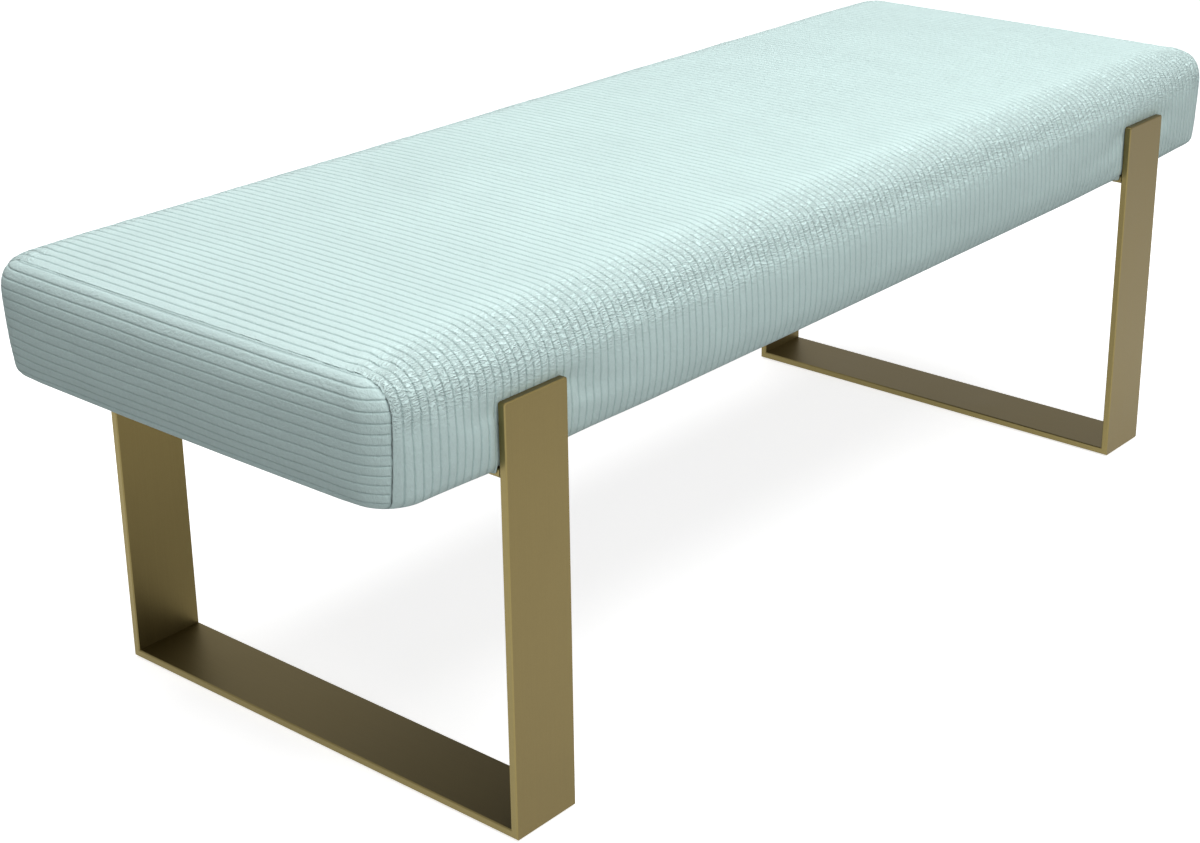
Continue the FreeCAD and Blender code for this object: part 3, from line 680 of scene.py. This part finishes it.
def carried(values, old, new):
    """Values on old places carried to new places along the first axis, by smooth curves."""
    old, new = np.asarray(old, dtype=float), np.clip(new, old[0], old[-1])
    slope = np.gradient(values, old, axis=0)
    k = np.clip(np.searchsorted(old, new, side="right") - 1, 0, len(old) - 2)
    gap = old[k + 1] - old[k]
    shape = (-1,) + (1,) * (values.ndim - 1)
    t = ((new - old[k]) / gap).reshape(shape)
    gap = gap.reshape(shape)
    return ((2 * t ** 3 - 3 * t ** 2 + 1) * values[k] + (t ** 3 - 2 * t ** 2 + t) * gap * slope[k]
            + (3 * t ** 2 - 2 * t ** 3) * values[k + 1] + (t ** 3 - t ** 2) * gap * slope[k + 1])


def cloth_run(form, values):
    """Blows the light mesh up as cloth and returns how far its points moved, by part."""
    light = coarse_cushion(form)
    rest = light.points()
    shell = add_object("cloth_run", mesh_of("cloth_run", rest.tolist(), light.faces()))
    bar = bar_distance(rest[:, 0] + values.shift, form.recess[3])
    held = (rest[:, 2] < HELD_BELOW) | (np.abs(rest[:, 0]) > form.seam - 0.0006) & (
        np.arange(len(rest)) < light.tube.shape[0] * light.tube.shape[1])
    edges = np.concatenate([np.zeros(light.tube.shape[:2], bool).ravel()]
                           + [outer_points(patch).ravel() for patch in light.patches])
    held = held | edges | ((bar < HELD_BESIDE) & (np.abs(rest[:, 1]) > HELD_OUT) & (rest[:, 2] < HELD_UP_TO))
    group = shell.vertex_groups.new(name="held")
    group.add([int(number) for number in np.nonzero(held)[0]], 1.0, "REPLACE")
    cloth = shell.modifiers.new("cloth", "CLOTH")
    pull = values.cloth_pull
    assign(cloth.settings, quality=8, mass=0.25, tension_stiffness=pull, compression_stiffness=pull,
           shear_stiffness=pull * 0.5, bending_stiffness=0.4, use_pressure=True, uniform_pressure_force=4.0,
           vertex_group_mass="held")
    cloth.settings.effector_weights.gravity = 0.0
    assign(cloth.collision_settings, use_collision=False, use_self_collision=False)
    assign(cloth.point_cache, frame_start=1, frame_end=CLOTH_FRAMES)
    scene = bpy.context.scene
    for number in range(1, CLOTH_FRAMES + 1):
        scene.frame_set(number)
    blown = shell.evaluated_get(bpy.context.evaluated_depsgraph_get()).to_mesh()
    flat = np.empty(len(blown.vertices) * 3, dtype=np.float32)
    blown.vertices.foreach_get("co", flat)
    moved = flat.reshape(-1, 3) - rest
    bpy.data.objects.remove(shell)
    scene.frame_set(1)
    far = np.linalg.norm(moved, axis=1, keepdims=True)
    print("cloth run: moved", float(far.mean()), "m on average and", float(far.max()), "m at most")
    moved = moved * (values.cloth_cap * np.tanh(far / values.cloth_cap) / np.maximum(far, 1e-9))
    cut = [light.tube.size // 3]
    cut.append(cut[0] + light.patches[0].size // 3)
    parts = np.split(moved, cut)
    shapes = [light.tube.shape] + [patch.shape for patch in light.patches]
    return light, [part.reshape(shape) for part, shape in zip(parts, shapes)]


def outer_points(patch):
    """Marks the outermost points of a patch."""
    marks = np.zeros(patch.shape[:2], bool)
    marks[0] = marks[-1] = True
    marks[:, 0] = marks[:, -1] = True
    return marks


def carry_cloth(light, moves, fine):
    """The cloth run's moves on the points of the full mesh."""
    tube = moves[0]
    still = np.zeros((1,) + tube.shape[1:])
    old = np.concatenate([[-light.form.seam], light.columns, [light.form.seam]])
    tube = carried(np.concatenate([still, tube, still]), old, fine.columns)
    closed = np.concatenate([tube, tube[:, :1]], axis=1).swapaxes(0, 1)
    tube = carried(closed, np.concatenate([light.tube_keys, [4.0]]), fine.tube_keys).swapaxes(0, 1)
    parts = [tube.reshape(-1, 3)]
    for patch in moves[1:]:
        patch = carried(patch, light.levels, fine.levels)
        parts.append(carried(patch.swapaxes(0, 1), light.around, fine.around).swapaxes(0, 1).reshape(-1, 3))
    return np.concatenate(parts)


def settled(points, faces, weight, rounds):
    """Eases the points under a weight towards their neighbours' middle, round by round."""
    marked = weight > 0.001
    pairs = np.array([pair for face in faces if any(marked[k] for k in face)
                      for pair in zip(face, face[1:] + face[:1])])
    pairs = pairs[marked[pairs[:, 0]]]
    count = np.maximum(np.bincount(pairs[:, 0], minlength=len(points)), 1)
    for number in range(rounds):
        middle = [np.bincount(pairs[:, 0], points[pairs[:, 1], axis], len(points)) / count for axis in range(3)]
        pull = -0.51 if number % 2 else 0.5
        points = points + (np.stack(middle, axis=1) - points) * (pull * weight * marked)[:, None]
    return points


def add_attribute(mesh, name, values):
    """A number for each vertex, kept on the mesh."""
    attribute = mesh.attributes.new(name, "FLOAT", "POINT")
    attribute.data.foreach_set("value", np.asarray(values, dtype=np.float32))


# Geometry Nodes

def node_group(name, sizes):
    """An empty Geometry Nodes tree with a geometry and named sizes going in and a geometry coming out."""
    group = bpy.data.node_groups.new(name, "GeometryNodeTree")
    group.interface.new_socket("Geometry", in_out="INPUT", socket_type="NodeSocketGeometry")
    for size in sizes:
        group.interface.new_socket(size, in_out="INPUT", socket_type="NodeSocketFloat")
    group.interface.new_socket("Geometry", in_out="OUTPUT", socket_type="NodeSocketGeometry")
    tree = Tree(group)
    source = group.nodes.new("NodeGroupInput")
    target = group.nodes.new("NodeGroupOutput")
    inputs = {output.name: Sock(group, output) for output in source.outputs if output.name}
    return group, tree, inputs, target


def apply_nodes(thing, group, values, material):
    """Runs a Geometry Nodes tree on an object and keeps the result as its plain mesh."""
    modifier = thing.modifiers.new(group.name, "NODES")
    modifier.node_group = group
    for item in group.interface.items_tree:
        if item.item_type == "SOCKET" and item.in_out == "INPUT" and item.name in values:
            modifier[item.identifier] = values[item.name]
    depsgraph = bpy.context.evaluated_depsgraph_get()
    mesh = bpy.data.meshes.new_from_object(thing.evaluated_get(depsgraph), preserve_all_data_layers=True,
                                           depsgraph=depsgraph)
    thing.modifiers.remove(modifier)
    thing.data = mesh
    if material is not None:
        mesh.materials.clear()
        mesh.materials.append(material)
    return thing


def stitch_line(seam, panel, run, width):
    """The second stitch line beside the seams, on part of the end panels."""
    return (seam - STITCH_GAP).bell(width) * run.over(*STITCH_STARTS) * (1.0 - run.over(*STITCH_ENDS)) * panel


def relief_group(material):
    """Moves the cover's surface: grooves between ribs, a soft swell and the pinched seams."""
    group, tree, given, target = node_group("cover_relief", ("Depth", "Width", "Pitch", "Wave", "Swell", "Pinch"))
    across, seam, panel = (tree.named(name) for name in ("across", "seam", "panel"))
    place = tree.out("GeometryNodeInputPosition")
    normal = tree.out("GeometryNodeInputNormal")
    distance = ((across + 0.5).fract() - 0.5).size() * given["Pitch"]
    groove = distance.bell(given["Width"])
    parts = tree.along(place)
    above = parts[2].over(*RELIEF_FROM)
    swell = tree.noise(place, 14.0, 2.0, 0.5) - 0.5
    fine = tree.noise(place, (60.0, 60.0, 60.0), 1.0, 0.5) - 0.5
    second = stitch_line(seam, panel, parts[1], 0.0008)
    pinch = seam.bell(0.0030)
    beside = (seam - 0.0062).bell(0.0034)
    lift = (swell * given["Swell"] * 1.4 + fine * given["Swell"] * 0.5 + beside * (1.0 - panel * 0.5) * 0.0004
            - groove * given["Depth"] * (1.0 - pinch) * (1.0 - panel * 0.6) - second * 0.0005
            - pinch * given["Pinch"]) * above
    wander = (tree.noise(place, (11.0, 16.0, 16.0), 1.0, 0.5) - 0.5) * given["Wave"] * 3.0
    wander = wander * (1.0 - pinch) * above
    sideways = tree.out("ShaderNodeCombineXYZ", None, X=wander * (1.0 - panel), Z=wander * panel * 0.6)
    offset = tree.out("ShaderNodeVectorMath", {"operation": "SCALE"}, in0=normal, Scale=lift)
    total = tree.out("ShaderNodeVectorMath", {"operation": "ADD"}, in0=offset, in1=sideways)
    moved = tree.out("GeometryNodeSetPosition", None, Geometry=given["Geometry"], Offset=total)
    tree.put(target.inputs[0], tree.out("GeometryNodeSetMaterial", None, Geometry=moved, Material=material))
    return group


# Finishes

def corduroy(colours, pitch):
    """Pale grey green wide wale corduroy: flat ribs, brushed and puckered pile; grooves, seams and the second stitch
    line darkened with painted shade, the top's rounded long edges lightened with painted light.
    """
    material, tree, shader = new_material("corduroy")
    place = object_place(tree)
    parts = tree.along(place)
    across, seam, panel = (tree.named(name) for name in ("across", "seam", "panel"))
    jag = tree.noise(place, (330.0, 330.0, 330.0), 2.0, 0.6) - 0.5
    distance = (((across + 0.5).fract() - 0.5).size() * pitch + jag * 0.0009).most(0.0)
    second = stitch_line(seam, panel, parts[1], 0.0006) * 0.8
    # Painted shade: the grooves, the seams and the second stitch line are darkened towards the groove colour.
    painted_crease_shade = distance.bell(0.00085).most(seam.bell(0.0009) * 0.7).most(second)
    turn = parts[1].size().over(0.176, 0.234) * parts[2].over(0.402, 0.442) * (1.0 - panel)
    cloud = tree.noise(place, (5.0, 7.0, 9.0), 3.0, 0.55)
    brushed = tree.noise(place, (21.0, 9.0, 24.0), 4.0, 0.62)
    pile = tree.noise(place, 620.0, 3.0, 0.65)
    dash = tree.noise(place, (180.0, 590.0, 590.0), 2.0, 0.6)
    slant = tree.noise(tree.out("ShaderNodeMapping", None, Vector=place, Rotation=(0.6, 0.5, 0.7),
                                Scale=(620.0, 290.0, 290.0)), 1.0, 3.0, 0.62)
    fleck = dash.over(0.37, 0.63)
    weave = fleck * turn + slant * (1.0 - turn)
    # The term turn * 0.32 lightens the top's rounded long edges: painted light.
    shade = ((cloud - 0.5) * 0.22 + (brushed - 0.5) * 0.26 + (pile - 0.5) * 0.20
             + (weave - 0.5) * (turn * 0.60 + 0.30) + turn * 0.32 + 0.5)
    rib = tree.shades(shade.clamp(), colours.rib, 0.78, 1.20)
    tree.fill(shader, base_color=tree.mix((painted_crease_shade * 0.85).clamp(), rib, tuple(colours.groove)), roughness=0.92,
              specular_ior_level=0.25, sheen_weight=0.15, sheen_roughness=0.5)
    height = weave * (turn * 0.25 + 0.6) + pile * 0.25 - painted_crease_shade * 0.30
    bumped(tree, shader, height, 1.0, 0.0015)
    return material


def antique_gold(colours):
    """Satin antique gold on flat bar: fine drawn grain, and a painted highlight that makes the faces pointing along
    the bench's length lighter.
    """
    material, tree, shader = new_material("satin_gold_metal")
    place = object_place(tree)
    grain = tree.noise(place, (700.0, 700.0, 9.0), 2.0, 0.6)
    cross = tree.noise(place, (700.0, 9.0, 700.0), 2.0, 0.6)
    cloud = tree.noise(place, 9.0, 3.0, 0.55)
    normal = tree.out("ShaderNodeNewGeometry", None, output=1)
    # Painted highlight: faces that point along the bench's length take the lighter colour below.
    side = tree.along(normal)[0].size().over(0.35, 0.9)
    tone = (grain - 0.5) * 0.5 + (cross - 0.5) * 0.3 + (cloud - 0.5) * 0.5 + 0.5
    face = tree.shades(tone.clamp(), colours.gold, 0.80, 1.20)
    edge = tree.shades(tone.clamp(), colours.gold_painted_highlight, 0.86, 1.14)
    tree.fill(shader, base_color=tree.mix(side, face, edge), metallic=1.0,
              roughness=(grain - 0.5) * 0.12 + (cloud - 0.5) * 0.10 + 0.44)
    bumped(tree, shader, grain * 0.6 + cross * 0.4, 0.10, 0.0002)
    return material


def bright_zinc(colours):
    """Bright zinc plate with a faint mottle."""
    material, tree, shader = new_material("zinc_steel")
    place = object_place(tree)
    mottle = tree.noise(place, 420.0, 3.0, 0.6)
    tree.fill(shader, base_color=tree.shades(mottle, colours.zinc, 0.85, 1.1), metallic=1.0,
              roughness=mottle * 0.25 + 0.22)
    return material


def pressed_felt(colours):
    """Dark pressed felt with a fibrous surface."""
    material, tree, shader = new_material("felt")
    place = object_place(tree)
    fibre = tree.noise(place, (900.0, 1500.0, 1200.0), 4.0, 0.7)
    tree.fill(shader, base_color=tree.shades(fibre, colours.felt, 0.6, 1.5), roughness=0.97, specular_ior_level=0.2)
    bumped(tree, shader, fibre, 0.8, 0.0006)
    return material


def dust_cloth(colours):
    """Thin non-woven cloth, bonded in small points."""
    material, tree, shader = new_material("dust_cloth")
    place = object_place(tree)
    points = tree.out("ShaderNodeTexVoronoi", {"feature": "F1"}, Vector=place, Scale=640.0)
    fibre = tree.noise(place, (500.0, 1300.0, 500.0), 4.0, 0.7)
    tree.fill(shader, base_color=tree.shades(fibre, colours.cloth, 0.6, 1.7), roughness=0.9)
    bumped(tree, shader, points.clamp() * 0.6 + fibre * 0.4, 0.6, 0.0004)
    return material


def wooden(name, colour, scale):
    """Planed wood with long grain."""
    material, tree, shader = new_material(name)
    place = object_place(tree)
    bend = tree.noise(place, (3.0, 22.0, 22.0), 3.0, 0.55)
    rings = ((bend * scale).sin() * 0.5 + 0.5)
    pores = tree.noise(place, (30.0, 900.0, 900.0), 3.0, 0.6)
    tone = rings * 0.6 + pores * 0.4
    tree.fill(shader, base_color=tree.shades(tone.clamp(), colour, 0.72, 1.12), roughness=0.62)
    bumped(tree, shader, pores, 0.25, 0.0003)
    return material


def rounded_block(low, high, bevel):
    """A block with rounded edges, as a bmesh."""
    form = bmesh.new()
    bmesh.ops.create_cube(form, size=1.0)
    size = [b - a for a, b in zip(low, high)]
    middle = [(a + b) / 2 for a, b in zip(low, high)]
    bmesh.ops.scale(form, vec=size, verts=form.verts)
    bmesh.ops.translate(form, vec=middle, verts=form.verts)
    bmesh.ops.bevel(form, geom=form.edges[:], offset=bevel, segments=3, profile=0.6, affect="EDGES")
    bmesh.ops.triangulate(form, faces=[face for face in form.faces if len(face.verts) > 4])
    return form


def plain_object(name, form, finish):
    """An object from a bmesh, with a finish."""
    mesh = bpy.data.meshes.new(name)
    form.to_mesh(mesh)
    form.free()
    mesh.shade_smooth()
    mesh.materials.append(finishes()[finish])
    return add_object(name, mesh)


def staple_group(material):
    """Puts a staple at each point, turned along the edge it holds."""
    group, tree, given, target = node_group("staples", ("Width", "Wire"))
    wire = given["Wire"]
    crown = tree.out("ShaderNodeCombineXYZ", None, X=given["Width"], Y=wire * 1.4, Z=wire * 0.7)
    bar = tree.out("GeometryNodeMeshCube", None, Size=crown)
    turn = tree.named("turn")
    slack = tree.out("FunctionNodeRandomValue", {"data_type": "FLOAT"}, output=1, Min=-0.12, Max=0.12, Seed=7)
    angle = tree.out("ShaderNodeCombineXYZ", None, Z=turn + slack)
    points = tree.out("GeometryNodeMeshToPoints", None, Mesh=given["Geometry"])
    placed = tree.out("GeometryNodeInstanceOnPoints", None, Points=points, Instance=bar, Rotation=angle)
    real = tree.out("GeometryNodeRealizeInstances", None, Geometry=placed)
    tree.put(target.inputs[0], tree.out("GeometryNodeSetMaterial", None, Geometry=real, Material=material))
    return group


FINISH = {}


def finishes():
    """Makes every finish once."""
    if not FINISH:
        scene = bpy.context.scene
        colours = scene.bench_colours
        FINISH.update(
            corduroy=corduroy(colours, rib_pitch(scene.bench_cushion)),
            satin_gold_metal=antique_gold(colours),
            zinc_steel=bright_zinc(colours),
            felt=pressed_felt(colours),
            dust_cloth=dust_cloth(colours),
            hardwood=wooden("hardwood", tuple(colours.wood), 60.0),
            plywood=wooden("plywood", tuple(colours.ply), 30.0),
        )
    return FINISH


def dress(node_names, finish):
    """Gives CAD nodes their finish."""
    for name in node_names:
        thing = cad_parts[name]
        thing.data.materials.clear()
        thing.data.materials.append(finishes()[finish])


# Operators

class BENCH_OT_frames(bpy.types.Operator):
    """Finish the leg frames, the seat bolts and their washers."""

    bl_idname = "bench.frames"
    bl_label = "Leg frames and fasteners"

    def execute(self, context):
        for side in SIDES:
            dress([f"{side}_{name}" for name in ("front_upright", "back_upright", "bottom_bar", "crossbar")],
                  "satin_gold_metal")
            dress([f"{side}_{name}" for name in ("seat_bolts", "bolt_washers", "threaded_inserts")], "zinc_steel")
        return {"FINISHED"}


class BENCH_OT_wood(bpy.types.Operator):
    """Finish the wooden frame and the deck inside the cushion."""

    bl_idname = "bench.wood"
    bl_label = "Wooden frame"

    def execute(self, context):
        dress(["front_rail", "back_rail", "left_end_rail", "centre_rail", "right_end_rail", "left_cross_rail",
               "right_cross_rail", "corner_blocks"], "hardwood")
        dress(["seat_deck"], "plywood")
        return {"FINISHED"}


class BENCH_OT_cushion(bpy.types.Operator):
    """Build the ribbed cushion with its two seams."""

    bl_idname = "bench.cushion"
    bl_label = "Cushion"

    def execute(self, context):
        scene = context.scene
        values, relief = scene.bench_cushion, scene.bench_relief
        low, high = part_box("dust_cover")
        form = CushionForm(values, (high[0] + 0.001, high[1] + 0.001, high[2] + 0.0004, bar_middles()))
        fine, across, seam, panel = fine_cushion(form)
        points = fine.points()
        light, moves = cloth_run(form, values)
        points += carry_cloth(light, moves, fine)
        faces = fine.faces()
        corners = (smooth(*CORNER_UP, points[:, 2]) * smooth(*CORNER_OUT, np.abs(points[:, 1]))
                   * (1.0 - smooth(*CORNER_NEAR, seam)))
        points = settled(points, faces, corners, CORNER_ROUNDS)
        points[:, 0] += values.shift
        mesh = mesh_of("cushion", points.tolist(), faces)
        for name, numbers in (("across", across), ("seam", seam), ("panel", panel)):
            add_attribute(mesh, name, numbers)
        cushion = add_object("cushion", mesh)
        material = finishes()["corduroy"]
        apply_nodes(cushion, relief_group(material),
                    {"Depth": relief.depth, "Width": relief.width, "Pitch": rib_pitch(values), "Wave": relief.wave,
                     "Swell": relief.swell, "Pinch": relief.pinch}, material)
        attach(cushion, "root")
        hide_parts(*SOFT_NODES)
        return {"FINISHED"}


class BENCH_OT_pads(bpy.types.Operator):
    """Build the felt pads under the bottom bars."""

    bl_idname = "bench.pads"
    bl_label = "Floor pads"

    def execute(self, context):
        trim = context.scene.bench_trim
        for side in SIDES:
            low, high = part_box(f"{side}_floor_pads")
            whole = bmesh.new()
            for y in (low[1], high[1] - trim.pad_long):
                pad = rounded_block((low[0], y, low[2]), (high[0], y + trim.pad_long, high[2]), trim.pad_edge)
                mesh = bpy.data.meshes.new("pad")
                pad.to_mesh(mesh)
                pad.free()
                whole.from_mesh(mesh)
            pads = plain_object(f"{side}_felt_pads", whole, "felt")
            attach(pads, "root")
            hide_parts(f"{side}_floor_pads")
        return {"FINISHED"}


class BENCH_OT_underside(bpy.types.Operator):
    """Build the dust cover with its turned hem and its staples."""

    bl_idname = "bench.underside"
    bl_label = "Dust cover and staples"

    def execute(self, context):
        trim = context.scene.bench_trim
        low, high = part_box("dust_cover")
        columns, rows = 161, 57
        x, y = np.meshgrid(np.linspace(low[0], high[0], columns), np.linspace(low[1], high[1], rows), indexing="ij")
        edge = np.minimum(np.minimum(x - low[0], high[0] - x), np.minimum(y - low[1], high[1] - y))
        hem = 1.0 - smooth(trim.hem - 0.002, trim.hem, edge)
        bars = bar_middles()
        free = smooth(0.040, 0.075, bar_distance(x, bars)) * smooth(0.006, 0.04, edge)
        ripple = np.sin(x * 41.0 + np.sin(y * 23.0) * 1.7) * np.sin(y * 57.0 + np.sin(x * 17.0) * 2.1)
        under = low[2] + 0.00012 - free * (trim.sag * (1.0 + 0.35 * ripple)) + (1.0 - hem) * 0.00025
        over = np.minimum(high[2], under + 0.0009)
        bottom = np.stack([x, y, under], axis=2).reshape(-1, 3)
        upper = np.stack([x, y, over], axis=2).reshape(-1, 3)
        index = np.arange(columns * rows).reshape(columns, rows)
        faces = grid_faces(index, False) + flipped(grid_faces(index + columns * rows, False))
        rim = [index[:, 0], index[-1, 1:], index[-2::-1, -1], index[0, -2:0:-1]]
        around = np.concatenate(rim)
        for a, b in zip(around, np.roll(around, -1)):
            faces.append((int(a), int(b), int(b) + columns * rows, int(a) + columns * rows))
        sheet = add_object("dust_sheet", mesh_of("dust_sheet", np.concatenate([bottom, upper]).tolist(), faces))
        form = bmesh.new()
        form.from_mesh(sheet.data)
        bmesh.ops.recalc_face_normals(form, faces=form.faces)
        form.to_mesh(sheet.data)
        form.free()
        sheet.data.materials.append(finishes()["dust_cloth"])
        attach(sheet, "root")
        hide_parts("dust_cover")

        inset, margin, places, turns = 0.0065, 0.015, [], []
        for start, end, fixed, lengthwise in ((low[0], high[0], low[1] + inset, True),
                                              (low[0], high[0], high[1] - inset, True),
                                              (low[1], high[1], low[0] + inset, False),
                                              (low[1], high[1], high[0] - inset, False)):
            run = end - start - 2 * margin
            count = int(round(run / trim.staple_pitch))
            for number in range(count + 1):
                spot = start + margin + run * number / count
                point = (spot, fixed) if lengthwise else (fixed, spot)
                if bar_distance(point[0], bars) < 0.046:
                    continue
                places.append((*point, low[2] - 0.0001))
                turns.append(0.0 if lengthwise else math.pi / 2)
        points = bpy.data.meshes.new("staples")
        points.from_pydata(places, [], [])
        add_attribute(points, "turn", turns)
        staples = add_object("staples", points)
        zinc = finishes()["zinc_steel"]
        apply_nodes(staples, staple_group(zinc), {"Width": trim.staple, "Wire": 0.0012}, zinc)
        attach(staples, "root")
        return {"FINISHED"}


class BENCH_OT_stage(bpy.types.Operator):
    """Set the floor, the lamps and the camera."""

    bl_idname = "bench.stage"
    bl_label = "Floor, lamps and camera"

    def execute(self, context):
        scene = context.scene
        values = scene.bench_stage
        floor = add_object("floor", mesh_of("floor", [(-30, -30, 0), (30, -30, 0), (30, 30, 0), (-30, 30, 0)],
                                            [(0, 1, 2, 3)]))
        material, tree, shader = new_material("floor")
        tree.fill(shader, base_color=(values.bounce,) * 3, roughness=1.0, specular_ior_level=0.0)
        rays = tree.node("ShaderNodeLightPath")
        seen = Sock(tree.tree, rays.outputs["Is Camera Ray"]).most(Sock(tree.tree, rays.outputs["Is Glossy Ray"]))
        seen = seen.most(Sock(tree.tree, rays.outputs["Is Transmission Ray"]))
        paper = tree.out("ShaderNodeBsdfDiffuse", None, Color=(values.floor,) * 3)
        glow = tree.out("ShaderNodeEmission", None, Color=(1.0, 1.0, 1.0), Strength=0.74)
        bright = tree.out("ShaderNodeAddShader", None, in0=paper, in1=glow)
        both = tree.node("ShaderNodeMixShader", None, Fac=seen)
        tree.tree.links.new(shader.outputs[0], both.inputs[1])
        tree.tree.links.new(bright.socket, both.inputs[2])
        tree.tree.links.new(both.outputs[0], tree.tree.nodes["Material Output"].inputs["Surface"])
        floor.data.materials.append(material)

        world = bpy.data.worlds.new("studio")
        scene.world = world
        world.use_nodes = True
        sky = Tree(world.node_tree)
        rays = sky.node("ShaderNodeLightPath")
        seen = Sock(sky.tree, rays.outputs["Is Camera Ray"])
        seen = seen.most(Sock(sky.tree, rays.outputs["Is Glossy Ray"]) * 0.75)
        ground = world.node_tree.nodes["Background"]
        ground.inputs["Color"].default_value = (1.0, 1.0, 1.0, 1.0)
        sky.put(ground.inputs["Strength"], seen * (1.0 - values.sky) + values.sky)

        aim = Vector((0.0, 0.0, 0.3))
        for name, power, size, place in (("top_lamp", values.top_lamp, 3.2, (0.05, -0.5, 3.0)),
                                         ("front_lamp", values.front_lamp, 2.4, (-2.2, -2.7, 1.9))):
            lamp = bpy.data.lights.new(name, "AREA")
            assign(lamp, shape="SQUARE", size=size, energy=power)
            holder = add_object(name, lamp)
            holder.location = place
            holder.rotation_euler = (aim - Vector(place)).to_track_quat("-Z", "Y").to_euler()

        camera = bpy.data.cameras.new("camera")
        assign(camera, lens=values.lens, sensor_width=36.0, sensor_fit="HORIZONTAL", shift_x=-0.06178,
               shift_y=-0.06931, clip_end=100.0)
        holder = add_object("camera", camera)
        holder.location = (-1.73218, -1.37969, 1.08592)
        holder.rotation_euler = (math.radians(69.0027), math.radians(0.045), math.radians(-51.0995))
        scene.camera = holder
        scene.view_settings.view_transform = "Standard"
        return {"FINISHED"}


class BENCH_PT_panel(bpy.types.Panel):
    """The bench's steps and sizes."""

    bl_label = "Upholstered bench"
    bl_space_type = "VIEW_3D"
    bl_region_type = "UI"
    bl_category = "Bench"

    def draw(self, context):
        for operator in OPERATORS:
            self.layout.operator(operator.bl_idname)
        for name, group in GROUPS.items():
            box = self.layout.box()
            box.label(text=group.__doc__)
            for item in group.__annotations__:
                box.prop(getattr(context.scene, name), item)


OPERATORS = (BENCH_OT_frames, BENCH_OT_wood, BENCH_OT_cushion, BENCH_OT_pads, BENCH_OT_underside,
             BENCH_OT_stage)
CLASSES = tuple(GROUPS.values()) + OPERATORS + (BENCH_PT_panel,)


def register():
    for item in CLASSES:
        bpy.utils.register_class(item)
    for name, group in GROUPS.items():
        setattr(bpy.types.Scene, name, PointerProperty(type=group))


def unregister():
    for name in GROUPS:
        delattr(bpy.types.Scene, name)
    for item in reversed(CLASSES):
        bpy.utils.unregister_class(item)


def main():
    register()
    for operator in OPERATORS:
        group, name = operator.bl_idname.split(".")
        getattr(getattr(bpy.ops, group), name)()


if __name__ == "__main__":
    main()
